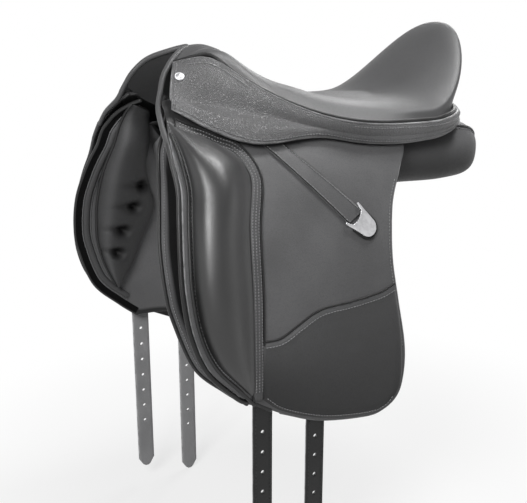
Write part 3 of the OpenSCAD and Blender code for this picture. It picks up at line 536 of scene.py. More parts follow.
def pair(stem, shape, material, stands_for=(), body="saddle", bend=None, shade=1.0):
    for side, sign in SIDES:
        def named(word):
            return word.replace("SIDE", side)
        turned = bend and (named(bend[0]), *bend[1:])
        nodes = [named(n) for n in stands_for]
        piece(f"{stem}_{side}", shape, material, nodes, named(body), turned, shade, sign)


# Materials

class Tree:
    def __init__(self, owner, output):
        self.owner = owner
        owner.use_nodes = True
        self.tree = owner.node_tree
        self.tree.nodes.clear()
        self.surface = self.node(output).inputs[0]

    def put(self, socket, value):
        if isinstance(value, bpy.types.NodeSocket):
            self.tree.links.new(value, socket)
        elif value is not None:
            socket.default_value = value

    def node(self, kind, inputs=(), **settings):
        n = self.tree.nodes.new(kind)
        for key, value in settings.items():
            setattr(n, key, value)
        for key, value in dict(inputs).items():
            self.put(n.inputs[key], value)
        return n

    def math(self, operation, a, b=None):
        return self.node("ShaderNodeMath", {0: a, 1: b}, operation=operation).outputs[0]

    def vector(self, operation, a, b, key=1):
        return self.node("ShaderNodeVectorMath", {0: a, key: b}, operation=operation).outputs[0]

    def range(self, value, low, high, to_low=0.0, to_high=1.0):
        limits = {"Value": value, "From Min": low, "From Max": high, "To Min": to_low, "To Max": to_high}
        return self.node("ShaderNodeMapRange", limits, interpolation_type="SMOOTHSTEP").outputs[0]

    def mix(self, share, a, b):
        return self.node("ShaderNodeMix", {0: share, 6: a, 7: b}, data_type="RGBA").outputs[2]

    def noise(self, scale, detail=2.0, vector=None, output=0):
        inputs = {"Scale": scale, "Detail": detail, "Vector": vector or self.place()}
        return self.node("ShaderNodeTexNoise", inputs).outputs[output]

    def wave(self, scale, distortion, direction):
        inputs = {"Vector": self.place(), "Scale": scale, "Distortion": distortion}
        return self.node("ShaderNodeTexWave", inputs, bands_direction=direction).outputs[1]

    def place(self):
        if not hasattr(self, "coords"):
            self.coords = self.node("ShaderNodeTexCoord").outputs["Object"]
        return self.coords

    def attribute(self, name):
        return self.node("ShaderNodeAttribute", attribute_name=name).outputs["Fac"]

    def bump(self, height, strength, distance):
        inputs = {"Height": height, "Strength": strength, "Distance": distance}
        return self.node("ShaderNodeBump", inputs).outputs[0]

    def seen(self):
        ray = self.node("ShaderNodeLightPath").outputs
        direct = self.math("MAXIMUM", ray["Is Camera Ray"], ray["Is Glossy Ray"])
        return self.math("MAXIMUM", direct, ray["Is Transmission Ray"])

    def blend(self, share, a, b):
        return self.node("ShaderNodeMixShader", {0: share, 1: a.outputs[0], 2: b.outputs[0]}).outputs[0]

    def finish(self, **sockets):
        for key, value in sockets.items():
            self.put(self.bsdf.inputs[key.replace("_", " ")], value)
        return self.owner


def paint(name):
    t = Tree(bpy.data.materials.new(name), "ShaderNodeOutputMaterial")
    t.bsdf = t.node("ShaderNodeBsdfPrincipled")
    t.put(t.surface, t.bsdf.outputs[0])
    return t


def grey(v):
    return (v, v, v * 1.02, 1.0)


# The attribute rim is the distance to a sheet's border in millimetres, shade multiplies the tone: on most
# pieces shade is painted light and shade, on the straps it gives the lighter flesh side
def leather(
        name, tone, grain, depth, rough, edge_mark=0.6, crease=0.6, variation=0.16, sheen=0.04, gloss=0.3, edge=2.6):
    t = paint(name)
    shift = t.vector("SUBTRACT", t.noise(260.0, 2.0, output=1), (0.5, 0.5, 0.5))
    moved = t.vector("ADD", t.place(), t.vector("SCALE", shift, 0.0011, "Scale"))
    cells = t.node("ShaderNodeTexVoronoi", {"Vector": moved, "Scale": 1000 / grain}, feature="DISTANCE_TO_EDGE")
    pebble = t.range(cells.outputs["Distance"], 0.0, 0.32)
    fine = t.noise(2600.0, 3.0)
    broad = t.noise(38.0, 4.0)
    cloud = t.noise(11.0, 3.0)
    rim = t.attribute("rim")
    line = t.range(t.math("ABSOLUTE", t.math("SUBTRACT", rim, 2.2)), 0.15, 0.75)
    groove = t.math("MULTIPLY", t.math("SUBTRACT", line, 1.0), crease)
    height = t.math("ADD", t.math("MULTIPLY", pebble, 0.6), t.math("MULTIPLY", fine, 0.22))
    height = t.math("ADD", t.math("ADD", height, t.math("MULTIPLY", broad, 1.3)), groove)
    colour = t.mix(t.range(cloud, 0.3, 0.7), grey(tone * (1 - variation)), grey(tone * (1 + variation)))
    colour = t.mix(t.range(pebble, 0.0, 0.7, 0.32, 0.0), colour, grey(tone * 0.35))
    # Edges take the tone times edge in patches, scaled by the mark's amount: lighter on most leathers, darker
    # where edge is below 1, which is painted shade of the grooves along an edge
    edge_patches = t.math("MULTIPLY", t.range(rim, 0.05, 1.1, 1.0, 0.0), t.range(t.noise(70.0, 3.0), 0.3, 0.62))
    colour = t.mix(t.math("MULTIPLY", edge_patches, edge_mark), colour, grey(min(0.5, tone * edge)))
    colour = t.vector("SCALE", colour, t.attribute("shade"), "Scale")
    patchy = t.range(cloud, 0.25, 0.75, rough - 0.05, rough + 0.06)
    return t.finish(
        Base_Color=colour, Roughness=t.math("ADD", patchy, t.range(pebble, 0, 0.6, 0.14, 0.0)),
        Normal=t.bump(height, depth, 0.0007), Sheen_Weight=sheen, Sheen_Roughness=0.5, Specular_IOR_Level=gloss)


def metal(name, tone, rough):
    t = paint(name)
    stretched = t.node("ShaderNodeMapping", {"Vector": t.place(), "Scale": (1.0, 0.12, 0.12)}).outputs[0]
    drawn = t.noise(900.0, 3.0, stretched)
    spots = t.noise(160.0, 4.0)
    colour = t.mix(t.range(spots, 0.35, 0.7), grey(tone), grey(tone * 0.82))
    brushed = t.range(drawn, 0.3, 0.7, rough - 0.06, rough + 0.08)
    return t.finish(
        Base_Color=colour, Metallic=1.0, Roughness=t.math("ADD", brushed, t.range(spots, 0.5, 0.8, 0.0, 0.1)),
        Normal=t.bump(drawn, 0.12, 0.0002))


def moulded(name, tone):
    t = paint(name)
    cloud = t.noise(25.0, 3.0)
    colour = t.mix(t.range(cloud, 0.3, 0.7), grey(tone * 0.85), grey(tone * 1.15))
    return t.finish(
        Base_Color=colour, Roughness=t.range(cloud, 0.3, 0.7, 0.5, 0.62),
        Normal=t.bump(t.noise(1500.0, 3.0), 0.25, 0.0003))


def webbing(name, tone):
    t = paint(name)
    weave = t.math("MULTIPLY", t.wave(260.0, 0.4, "X"), t.wave(260.0, 0.4, "Z"))
    fuzz = t.noise(3000.0, 2.0)
    height = t.math("ADD", weave, t.math("MULTIPLY", fuzz, 0.3))
    return t.finish(
        Base_Color=t.mix(t.range(weave, 0.0, 0.6), grey(tone * 0.6), grey(tone * 1.3)),
        Roughness=t.range(fuzz, 0.2, 0.8, 0.8, 0.95), Normal=t.bump(height, 0.6, 0.0005))


def thread(name, tone):
    t = paint(name)
    cloud = t.noise(40.0, 3.0)
    return t.finish(
        Base_Color=t.mix(t.range(cloud, 0.3, 0.7), grey(tone * 0.8), grey(tone * 1.2)),
        Roughness=t.range(cloud, 0.2, 0.8, 0.6, 0.75),
        Normal=t.bump(t.wave(900.0, 1.0, "DIAGONAL"), 0.5, 0.0002))


# Tone, grain in millimetres, depth of the grain and roughness of each leather
unmarked = {"edge_mark": 0.0, "crease": 0.0}
seat_hide = leather("seat_leather", 0.09, 1.1, 0.12, 0.41, variation=0.08, gloss=0.5, **unmarked)
grain_hide = leather("grain_leather", 0.1, 2.2, 0.9, 0.33, gloss=0.7)
flap_hide = leather("flap_leather", 0.13, 1.3, 0.25, 0.42, gloss=0.4)
block_hide = leather("block_leather", 0.04, 1.1, 0.12, 0.33, edge_mark=0.2, crease=0.0, gloss=0.8)
# The strip and seam tape leathers darken their edges: painted shade of the grooves beside them
strip_face = leather("strip_leather", 0.13, 1.3, 0.25, 0.42, gloss=0.4, edge=0.15)
dark_hide = leather("dark_leather", 0.045, 1.2, 0.2, 0.4, gloss=0.35)
tape_hide = leather("tape_leather", 0.1, 1.1, 0.2, 0.4, gloss=0.4, edge=0.2, edge_mark=0.9)
edge_hide = leather("edge_leather", 0.2, 0.9, 0.2, 0.45, **unmarked)
cord_hide = leather("piping_leather", 0.02, 0.9, 0.2, 0.32, gloss=0.4, **unmarked)
welt_hide = leather("welt_leather", 0.1, 0.9, 0.2, 0.4, gloss=0.4, **unmarked)
pad_hide = leather("panel_leather", 0.045, 1.4, 0.3, 0.42, gloss=0.25, **unmarked)
strap_hide = leather("strap_leather", 0.011, 1.0, 0.2, 0.42, gloss=0.35)
lining_hide = leather("lining_leather", 0.02, 1.0, 0.3, 0.65, edge_mark=0.2)
binding_hide = leather("binding_leather", 0.006, 1.0, 0.3, 0.8, sheen=0.0, gloss=0.1, **unmarked)
web_cloth = webbing("web_cloth", 0.03)
sewing = thread("sewing_thread", 0.24)
strap_sewing = thread("strap_thread", 0.04)
bright_steel = metal("bright_steel", 0.78, 0.2)
satin_steel = metal("satin_steel", 0.8, 0.5)
plain_steel = metal("plain_steel", 0.55, 0.32)
coated_steel = moulded("coated_steel", 0.02)
tree_shell = moulded("tree_shell", 0.05)

# Seat, as deep as its cover and foam and thin at the seam

seat_depth, seam_depth, full_steps = 14.0, 3.0, 14
seat = seat_surface()
normals = unit(np.cross(np.gradient(seat, axis=1), (np.roll(seat, -1, 0) - np.roll(seat, 1, 0)) / 2))
normals *= np.where(normals[:, :1, 2:].mean() < 0, -1.0, 1.0)
depths = np.concatenate([
    np.full(TOP_STEPS + full_steps, seat_depth), np.linspace(seat_depth, seam_depth, SIDE_STEPS - full_steps)])
under = seat - normals * depths[None, :, None]
top_mid = np.array([seat_middle[0], 0, float(centre_z(seat_middle[0]))])
seat_rings = np.concatenate([seat, under[:, ::-1]], 1).swapaxes(0, 1)
piece(
    "seat", fan_shape(seat_rings, top_mid, top_mid - [0, 0, seat_depth]), seat_hide,
    ["seat_cover", "seat_foam"])

# Welt round the seat, band and skirts

path = seams[corner_at:len(seams) - corner_at + 1]
outwards = level_out(np.gradient(path, axis=0))
welt_path = path + 1.6 * outwards - [0, 0, 0.3 * welt_r]
piece("seat_piping", tube_shape(welt_path, welt_r + 0.7), cord_hide, ["seat_welt"])

skirt_fold = np.array([corner + [24, 40, -38], [78, float(barrel_y(80.0, -1.5 * skirt_proud)), 80]])
skirt_edge = [[242, 107], [234, 99], [221, 90], [202, 80], [181, 71], [155, 66], [117, 68], [80, 74]]
band_edge = [[76, 74], [35, 64], [0, 59], [-45, 57], [-71, 59]]
band_back = np.array([cantle_x + 11, 0, seam_h - 5])
band_start = on_barrel(band_edge[-1], -skirt_proud)
half = rear_at - corner_at + 1
seam_half, out_half = path[:half], outwards[:half]
band_top = seam_half + (2 * welt_r + gap) * out_half - [0, 0, 1.25 * welt_r]
BAND_PASSES = 24


def band_lines(rows):
    fold_x = skirt_fold[1][0]
    guides = []
    for p, top, out in zip(seam_half, band_top, out_half):
        if p[0] > fold_x:
            u = clamp((corner[0] - p[0]) / (corner[0] - fold_x))
            fold = lerp(skirt_fold[0], skirt_fold[1], u)
            proud = skirt_proud + 3 * fade(u, 0, 0.2) * fade(u, 1, 0.55)
            low = on_barrel(curve(skirt_edge, u)[0], -proud)
        else:
            if p[0] > band_start[0]:
                u = clamp((fold_x - p[0]) / (fold_x - band_start[0]))
                low = on_barrel(curve(band_edge, u)[0], -skirt_proud)
            else:
                a = QUARTER - math.asin(float(clamp(p[1] / seam_y(round_x))))
                low = np.array([
                    lerp(round_x, band_back[0], math.sin(a)), band_start[1] * math.cos(a),
                    lerp(band_start[2], band_back[2], math.sin(a))])
            fold = lerp(top, low, 0.67)
        swell = 5 * clamp(np.linalg.norm(fold - top) / 50)
        guides.append(curve(
            [top, lerp(top, fold, 0.5) + swell * out, fold, lerp(fold, low, 0.5) + [0, 2.1, 2.1], low], rows))
    return relaxed(np.array(guides), BAND_PASSES)


skirt = band_lines(edged(26, (0.0, 0.012, 0.03)))
skirt_n = grid_normals(skirt)
skirt_n *= np.sign((skirt_n[20, 10] * out_half[20]).sum())
skirt_face = skirt + skirt_n * skirt_t
axis = unit(skirt_fold[1] - skirt_fold[0])
fold_mid = skirt_fold.mean(0)
fall = on_barrel([155, 66], -skirt_proud) - fold_mid
fall = unit(fall - (fall @ axis) * axis)
skirt_bend = ("skirt_SIDE", fold_mid + fall * 4, fold_mid + fall * 18)
skirt_shape = sheet_shape(skirt_face, skirt)
skirt_x = skirt_shape[0][:, 0]
# Painted light: the band towards the rear and the skirt's front are painted lighter than the rest of the skirt
pair(
    "skirt_leather", skirt_shape, grain_hide, ["skirt_SIDE", "seat_band"], bend=skirt_bend,
    shade=0.92 + 0.85 * fade(skirt_x, 30, -60) + 0.5 * fade(skirt_x, 210, 245))

# Sewing on the skirt and band, measured from the lower edge or, below nought, from the upper one


def skirt_row(back, first, last=None):
    points, ups = [], []
    for line, normal in zip(skirt_face[first:last], skirt_n[first:last]):
        run = run_along(line)
        s = run[-1] - back if back >= 0 else -back
        points.append(read_at(s, run, line))
        ups.append(read_at(s, run, normal))
    return np.array(points), np.array(ups)


coarse = {"pitch": 4.0, "length": 2.8, "r": 0.6}
pair("skirt_sewing", joined([
    stitch_shape(*skirt_row(4.0, 2), **coarse), stitch_shape(*skirt_row(-5.0, 46), **coarse),
    stitch_shape(skirt_face[1, 2:-1], skirt_n[1, 2:-1]), stitch_shape(*skirt_row(-10.0, 4, 22), pitch=3.2),
]), sewing, bend=skirt_bend)

# Pommel welt


def both_halves(near):
    near = np.array(near, float)
    return np.concatenate([near[:0:-1] * MIRROR, near])


welt_fore = welt_r + 2 * gap + 1
near_welt = np.array([
    front_middle + [welt_fore, 0, -1.6],
    lerp(front_middle, corner, 0.45) + [welt_fore, -1, 1],
    corner + [welt_fore, 0, 0.5],
    corner + [19, 11, -15],
    corner + [27, 20, -31],
    on_barrel([flap_front - 26, 107.5], 1),
    on_barrel([flap_front - 19, 90], 2),
    on_barrel([flap_front - 16.5, 72], 1),
])
pommel_path = curve(both_halves(near_welt * MIRROR), np.linspace(0, 1, 160))
piece("pommel_piping", tube_shape(pommel_path, piping_r + 0.4, 14), welt_hide, ["pommel_welt"])

# Lining of the pommel's head, from the welt back to the gullet arch

head_s = np.linspace(0, 1, 81)
head_fore = curve(both_halves([
    front_middle + [3, 0, -1.5], lerp(front_middle, corner, 0.45) + [3, -1, 0.5], corner + [3, -1, -2],
    corner + [17, 9, -16], corner + [25, 18, -32]]), head_s)
head_hind = curve(both_halves([
    [198, 0, 139], [198, 17, 134.5], [198, 29.5, 122.5], [201, 38.5, 110], [205, 48, 97]]), head_s)
head_t = np.linspace(0, 1, 21)[None, :, None]
head = lerp(head_fore[:, None], head_hind[:, None], head_t)
head = head + np.sin(math.pi * head_t) * np.array([3.5, 0, -1.0])
head_n = grid_normals(head)
head_n *= np.sign(head_n[40, 10, 0])
piece("pommel_lining", sheet_shape(head, head - head_n * 2.5), lining_hide)
piece("pommel_lining_cord", tube_shape(head_hind, 1.9, 10), cord_hide)

# Buttons on the skirts' fronts


def lathe_shape(at, out, profile, steps=40):
    side = unit(np.cross(out, [0.1, 0.2, 0.97]))
    ring = circles(side[None], np.cross(out, side)[None], steps)[0]
    verts = np.concatenate([at + r * ring + h * out for r, h in profile])
    return bare(verts, capped_faces(len(profile), steps))


button_box = np.array([list(v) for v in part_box("pommel_buttons")]).mean(0) / MM
spread = np.hypot(skirt_face[..., 0] - button_box[0], skirt_face[..., 2] - button_box[2])
button_at = np.unravel_index(spread.argmin(), spread.shape)
# Radius and height of the button's rings
button_profile = [
    (5.3, -1.2), (5.8, 0.2), (5.9, 1.1), (5.5, 1.8), (4.9, 2.0), (4.5, 1.8), (4.2, 1.85), (3.4, 2.4),
    (2.2, 2.85), (0.9, 3.1), (0.1, 3.15)]
pair(
    "pommel_button", lathe_shape(skirt_face[button_at], skirt_n[button_at], button_profile), satin_steel,
    ["pommel_buttons"])

# Flap

fold_front, fold_rear = np.array([flap_front - 17, 65.0]), np.array([-44.0, 50.0])
front_low, rear_low = np.array([flap_front - 53, -front_down - 122]), np.array([waist - 7, 17 - flap_drop])
top_front, top_rear = np.array([flap_front - 36, 112.0]), np.array([-42.0, 66.0])
flap_top_edge = np.array([top_front, [225, 112], [200, 100], [170, 90], [110, 84], [30, 75], top_rear])
flap_fore = np.array([
    fold_front, [flap_front - 15.5, 30], [flap_front - 9, 0], [flap_front - 3, -35], [flap_front, -front_down],
    [flap_front - 4, -front_down - 44], [flap_front - 20, -front_down - 86], front_low])
flap_hind = np.array([
    fold_rear, [waist - 34, 25], [waist - 11, -13], [waist, -69], [waist - 4, -124], [waist - 14, -185],
    [waist - 14, -225], rear_low])
flap_base = np.array([
    front_low, [171, 37 - flap_drop], [115, 13 - flap_drop], [47, -flap_drop], [20, 3 - flap_drop], rear_low])
flap_plan = patch(
    flap_top_edge, flap_base, np.vstack([top_front, flap_fore]), np.vstack([top_rear, flap_hind]),
    edged(44), edged(64))
flap_axis = unit(on_barrel(fold_front, 0) - on_barrel(fold_rear, 0))
flap_mid = (on_barrel(fold_front, 0) + on_barrel(fold_rear, 0)) / 2
flap_fall = np.array([0, 0.45, -1.0])
flap_fall = unit(flap_fall - (flap_fall @ flap_axis) * flap_axis)
flap_bend = ("flap_SIDE", flap_mid - flap_fall * 6, flap_mid + flap_fall * 10)
# Painted shadow: the flap is darkened under the skirt's front, and its inner face is painted near black
painted_skirt_shadow = fade(flap_plan[..., 1], 78, 92) * fade(flap_plan[..., 0], 205, 220)
pair(
    "flap_leather", laid(flap_plan, -flap_t / 2, flap_t / 2), flap_hide,
    ["flap_SIDE", "flap_top_SIDE"], bend=flap_bend, shade=sheet_shade(1 - 0.75 * painted_skirt_shadow, 0.05))

# Knee block

block_top = np.array([[254.5, 96], [237, 86], [221.5, 80.5], [206, 73], [190, 66.5]])
knee_seam = np.array([
    block_top[-1], [180.5, 56], [174.5, 42], [175, 27], [186.5, -7.5], [192, -38], [196, -80], [200, -135],
    [202, 63 - flap_drop]])
block_fore = np.array([
    block_top[0], [flap_front - 26, 78], [flap_front - 27, 61], [flap_front - 26, 30], [flap_front - 19, 0],
    [flap_front - 13, -35], [flap_front - 10, -front_down], [flap_front - 14, -front_down - 42],
    [flap_front - 29, -front_down - 80], [flap_front - 56, -front_down - 112]])
block_us, block_vs = edged(46), edged(60)
block_plan = patch(
    block_top, [block_fore[-1], lerp(block_fore[-1], knee_seam[-1], 0.5) - [0, 2], knee_seam[-1]],
    block_fore, knee_seam, block_us, block_vs)


def block_rise(u, v):
    crest = lerp(0.36, 0.31, fade(v, 0, 0.5))
    ahead = clamp(u / crest)
    front = 0.55 * (1 - (1 - ahead) ** 8) + 0.45 * np.sin(QUARTER * ahead)
    back = 0.5 + 0.5 * np.cos(math.pi * clamp((u - crest) / (1 - crest)))
    ends = np.sin(QUARTER * clamp(v / 0.34)) ** 0.9 * np.sin(QUARTER * clamp((1 - v) / 0.3)) ** 0.7
    return 1 + block_h * np.where(u < crest, front, back) * ends


rise = block_rise(block_us[None, :], block_vs[:, None])
# Painted light and shade: the block is lighter at the top and darker towards its lower front
block_painted_shade = fade(block_vs[:, None], 0.3, 0.75) * (1 - 0.55 * fade(block_us[None, :], 0.4, 0.7))
pair(
    "knee_roll", laid(block_plan, -on_flap - rise, -on_flap), block_hide, ["knee_block_SIDE"],
    bend=flap_bend, shade=sheet_shade(lerp(1.15, 0.2, block_painted_shade)))

# Lower facing and keeper strip on the flap

wave = np.array([[197, -140], [171, -140], [144, -128], [116, -117], [74, -115], [32, -111], [waist + 1, -104]])
facing_base = np.array([
    [197, 62 - flap_drop], [171, 41 - flap_drop], [115, 17 - flap_drop], [47, 4 - flap_drop],
    [20, 7 - flap_drop], rear_low + [4, 4]])
facing_vs = edged(30)
facing_plan = patch(
    wave, facing_base, [wave[0], [198, -170], facing_base[0]],
    [wave[6], [waist - 8, -170], [waist - 11, -225], facing_base[5]], edged(40), facing_vs)
facing_rim = rim_distance(on_barrel(facing_plan, -on_flap))
puff = 0.5 + 2.6 * fade(facing_rim, 0, 4) - 0.9 * fade(facing_rim, 4, 13)
# Painted light and shade: the lower facing is lighter at the top and darker towards the bottom
facing_painted_shade = lerp(2.0, 0.4, smooth(facing_vs) ** 0.7)[:, None] + 0 * puff
pair(
    "facing_leather", laid(facing_plan, -on_flap - puff, -on_flap), dark_hide,
    ["lower_facing_SIDE"], "flap_SIDE", shade=sheet_shade(facing_painted_shade))

strip_top = np.array([[154, 68], [126.6, 68]])
strip_end = np.array([[66, -26], [42, -13]])
strip_sides = np.stack([strip_top, strip_end], 1)
strip_plan = patch(strip_top, strip_end, *strip_sides, edged(8, (0.0, 0.04, 0.1)), edged(40))
pair(
    "strip_leather", laid(strip_plan, -on_flap - facing_t, -on_flap), strip_face,
    ["keeper_strip_SIDE"], bend=flap_bend)

# Keeper plate on a dark backing, in line with the solid strip

plate_t, plate_half, plate_l, backing_rim = 2.0, 14.0, 30.0, 3.0
solid_strip_top = np.array([[141, 54], [112, 54]])
plate_mid = strip_end.mean(0)
plate_down = unit(plate_mid - solid_strip_top.mean(0))
plate_at = plate_mid + plate_down * plate_l / 2
plate_out = barrel_normal(plate_at[1], -on_flap)
plate_level = unit(np.cross(plate_out, np.cross([plate_down[0], 0, plate_down[1]], plate_out)))
plate_side = np.cross(plate_out, plate_level)
plate_base = on_barrel(plate_at, -on_flap) + plate_out * (facing_t + 2 * gap) - plate_level * plate_l / 2
round_r = plate_half - 2
round_at = plate_l - round_r
turns = np.radians(np.arange(-75, 76, 7.5))
# Place along the plate and reach past its half width
plate_ears = [(-9, 0.0), (-8, 2.0), (-3, 1.6), (2, 0.5), (10, -0.7)]


def plate_end(r):
    return [[round_at + r * math.cos(a), r * math.sin(a)] for a in turns]


def slab_shape(line, low, high, bevel):
    bm = bmesh.new()
    face = bm.faces.new([bm.verts.new((x, y, low)) for x, y in line])
    grown = bmesh.ops.extrude_face_region(bm, geom=[face])["geom"]
    top = [v for v in grown if isinstance(v, bmesh.types.BMVert)]
    for v in top:
        v.co.z = high
    rim_edges = [e for e in bm.edges if e.verts[0] in top and e.verts[1] in top]
    bmesh.ops.bevel(bm, geom=rim_edges, offset=bevel, segments=3, affect="EDGES", profile=0.6)
    bm.verts.index_update()
    flat_verts = np.array([v.co[:] for v in bm.verts])
    faces = [[v.index for v in f.verts] for f in bm.faces]
    bm.free()
    return bare(plate_base + flat_verts @ np.stack([plate_level, plate_side, plate_out]), faces)


plate_line = (
    [[x, -plate_half - d] for x, d in plate_ears] + plate_end(round_r)
    + [[x, plate_half + d] for x, d in plate_ears[::-1]]
    + [[3 - 3 * a * a, -(plate_half - 3) * a] for a in np.linspace(-1, 1, 15)])
backing_r = round_r + backing_rim
backing_line = (
    [[5, -plate_half - 2], [round_at, -backing_r]] + plate_end(backing_r)
    + [[round_at, backing_r], [5, plate_half + 2]])
pair(
    "keeper_plate_shell", slab_shape(plate_line, 0.0, plate_t, 0.7), satin_steel,
    ["keeper_plate_SIDE"], "flap_SIDE")
pair("keeper_backing", slab_shape(backing_line, -1.6, -0.1, 0.6), lining_hide, body="flap_SIDE")

# Piping along the flap's front

fine = np.linspace(0, 1, 120)
flap_round = np.vstack([flap_fore, curve(flap_base, [0.05, 0.1, 0.15])])
cord_out = piping_r + gap - 2.8 * fade(fine, 0.74, 0.88)
edge_plan = np.vstack([[flap_front - 16, 73], beside(flap_round, fine[4:], cord_out[4:, None])])
cord_tube = tube_shape(on_barrel(curve(edge_plan, np.linspace(0, 1, 200)), 0), piping_r)
# Painted light and shade: the cord is painted darker low down and lighter towards the top
pair(
    "flap_cord", cord_tube, cord_hide, ["flap_piping_SIDE"], bend=flap_bend,
    shade=lerp(0.3, 3.2, fade(cord_tube[0][:, 2], -40, 70)))
block_round = beside(np.vstack([block_fore, knee_seam[-1] + [3, -3]]), fine[8:], 4.0)
block_cord = tube_shape(on_barrel(block_round, -flap_t / 2 - 1.8), 2.0)
pair("block_cord", block_cord, cord_hide, bend=flap_bend)

# Seam tape round the knee block, edging and sewing on the flap


def flap_rows(points, distance, s, lift=flap_t / 2, **kind):
    plan = beside(points, s, distance)
    return stitch_shape(on_barrel(plan, -lift), barrel_normal(plan[:, 1], -lift), **kind)


block_edge = np.vstack([block_top, knee_seam[1:]])
tape_s = np.linspace(0.035, 1, 150)
tape_half, tape_rise = 6.5, 2.6
tape_d = np.linspace(-tape_half, tape_half, 11)
tape_up = 0.3 + tape_rise * (1 - (tape_d / tape_half) ** 4)
# Painted shadow: the seam tape is darker along its top, under the skirt
tape_painted_shadow = lerp(0.3, 1.0, fade(tape_s, 0.25, 0.5))[:, None] + 0 * tape_d
pair(
    "seam_tape", laid(banded(block_edge, tape_s, tape_d), -on_flap - tape_up, -on_flap), tape_hide,
    bend=flap_bend, shade=sheet_shade(tape_painted_shadow))
# Painted shade: dark tubes along both borders of the tape stand for the shade in the grooves there
pair("tape_shadow_lines", joined([
    tube_shape(on_barrel(beside(block_edge, tape_s, d), -on_flap - 1.2), 1.2, 8) for d in (-7.2, 7.2)
]), strap_hide, bend=flap_bend)
# Painted shadow: a dark tube just above the wavy seam stands for the shadow above the facing's puffed edge
wave_shadow_path = on_barrel(beside(wave, fine, -1.0), -flap_t / 2 - 0.2)
pair("wave_shadow_tube", tube_shape(wave_shadow_path, 1.4, 10), strap_hide, body="flap_SIDE")
edge_line = curve(np.vstack([flap_hind[1:], flap_base[-2:0:-1]]), np.linspace(0, 1, 240))
pair("flap_edging", tube_shape(on_barrel(edge_line, 0), 1.7, 10), edge_hide, body="flap_SIDE")
tape_s = np.linspace(0.045, 0.99, 160)
strip_s, on_strip = np.linspace(0.02, 0.98, 60), on_flap + facing_t
pair("flap_sewing", joined([
    *[
        flap_rows(block_edge, d, tape_s, on_flap + tape_rise, pitch=3.4, length=2.3, r=0.55)
        for d in (-3.9, 0.0, 3.9)],
    flap_rows(block_fore, 0.6, np.linspace(0.02, 0.98, 120)),
    flap_rows(wave, 4.5, np.linspace(0.03, 0.98, 120), on_flap + 3.0),
    flap_rows(facing_base, -3.6, np.linspace(0.02, 0.96, 120), on_flap + 2.9),
    flap_rows(flap_hind[1:], 3.5, np.linspace(0.05, 0.66, 120)),
    flap_rows(strip_sides[0], -2.6, strip_s, on_strip),
    flap_rows(strip_sides[1], 2.6, strip_s, on_strip),
]), sewing, bend=flap_bend)

# Sweat flap


def on_inside(plan, inset):
    return on_barrel(plan, inset * (1 - 0.6 * fade(plan[..., 1], 40, 95)))


inner_face = sweat_in + sweat_t
sweat_front = flap_front + 12
sweat_fore = np.array([
    [flap_front - 48, 106], [flap_front - 40, 101], [flap_front - 29, 90], [flap_front - 21, 79],
    [flap_front - 13.5, 65.5], [flap_front - 8.5, 45], [flap_front - 2.5, 26], [sweat_front - 8, 2],
    [sweat_front - 1, -32], [sweat_front, -front_down], [sweat_front - 5, -front_down - 34],
    [sweat_front - 26, -front_down - 91], [sweat_front - 62, -front_down - 127],
    [sweat_front - 90, -front_down - 150]])
sweat_hind = np.array([[40, 22], [34, -20], [30, -70], [28, -120], [28, -170], [40, 40 - flap_drop]])
sweat_base = np.array([
    sweat_fore[-1], [160, 42 - flap_drop], [115, 34 - flap_drop], [66, 30 - flap_drop], sweat_hind[5]])
sweat_plan = patch(
    [sweat_fore[0], [228, 98], [206, 84], [180, 56], [110, 38], sweat_hind[0]], sweat_base, sweat_fore,
    sweat_hind, edged(44), edged(64))
sweat_rim = rim_distance(on_inside(sweat_plan, sweat_in))
# Painted shadow: the sweat flap's outer face is painted near black behind a lighter 7 mm border; the inner face
# is dark along its 9 mm border and lighter beyond
pair(
    "sweat_leather", laid(sweat_plan, sweat_in, inner_face, on_inside), flap_hide,
    ["sweat_flap_SIDE"],
    shade=sheet_shade(lerp(1.3, 0.06, fade(sweat_rim, 7, 9)), lerp(0.07, 1.3, fade(sweat_rim, 9, 11))))

# Padded front with sewn dimples

pad_inset = inner_face + 3 * gap
pad_fore = np.array([
    [238, 100], [241, 82], [246, 62], [251, 36], [256.5, 8], [260, -21], [261.5, -51], [260.5, -75],
    [258.5, -98], [252.5, -123], [244, -146], [232, -171]])
pad_hind = np.array([
    [207, 88], [202, 62], [199, 34], [197, 10], [187, -22], [178, -46], [178, -64], [185, -84], [195, -110],
    [206, -138], [217, -157], [230, -172.5]])
pad_us, pad_vs = edged(56), edged(100)
pad_plan = patch([pad_fore[0], pad_hind[0]], [pad_fore[-1], pad_hind[-1]], pad_fore, pad_hind, pad_us, pad_vs)
dimples = np.array([[203, -18], [212.5, -49], [226, -84], [232, -118]])


def pressed(points, size):
    return np.exp(-((pad_plan[..., None, :] - points) ** 2 / np.array(size) ** 2).sum(-1)).max(-1)


sewn = pressed(dimples, (10.0, 8.0))
gather = pressed(dimples + [14, 4], (15.0, 5.0))
crown = np.sin(math.pi * pad_us[None, :]) ** 0.6 * np.sin(math.pi * (0.06 + 0.88 * pad_vs[:, None])) ** 0.5
pad_up = 1.5 + np.maximum(0, pad_t * crown - 14 * sewn - 4 * gather)
# Painted light and shade: a lighter strip near the pad's front, and darker dimples and folds
painted_front_light = 1.4 * np.exp(-((pad_us[None, :] - 0.14) / 0.09) ** 2)
pad_painted_light_and_shade = 1.1 + painted_front_light - 1.2 * sewn - 0.6 * gather * (1 - sewn)
pair(
    "panel_pad", laid(pad_plan, pad_inset + pad_up, pad_inset, on_inside), pad_hide,
    ["panel_front_SIDE"], shade=sheet_shade(pad_painted_light_and_shade, 1.0))

# Binding, cords and sewing on the sweat flap


def inner_cord(points, distance, r, depth, last=1.0):
    plan = beside(points, np.linspace(0, last, 140), distance)
    return tube_shape(on_inside(plan, depth), r, 10)


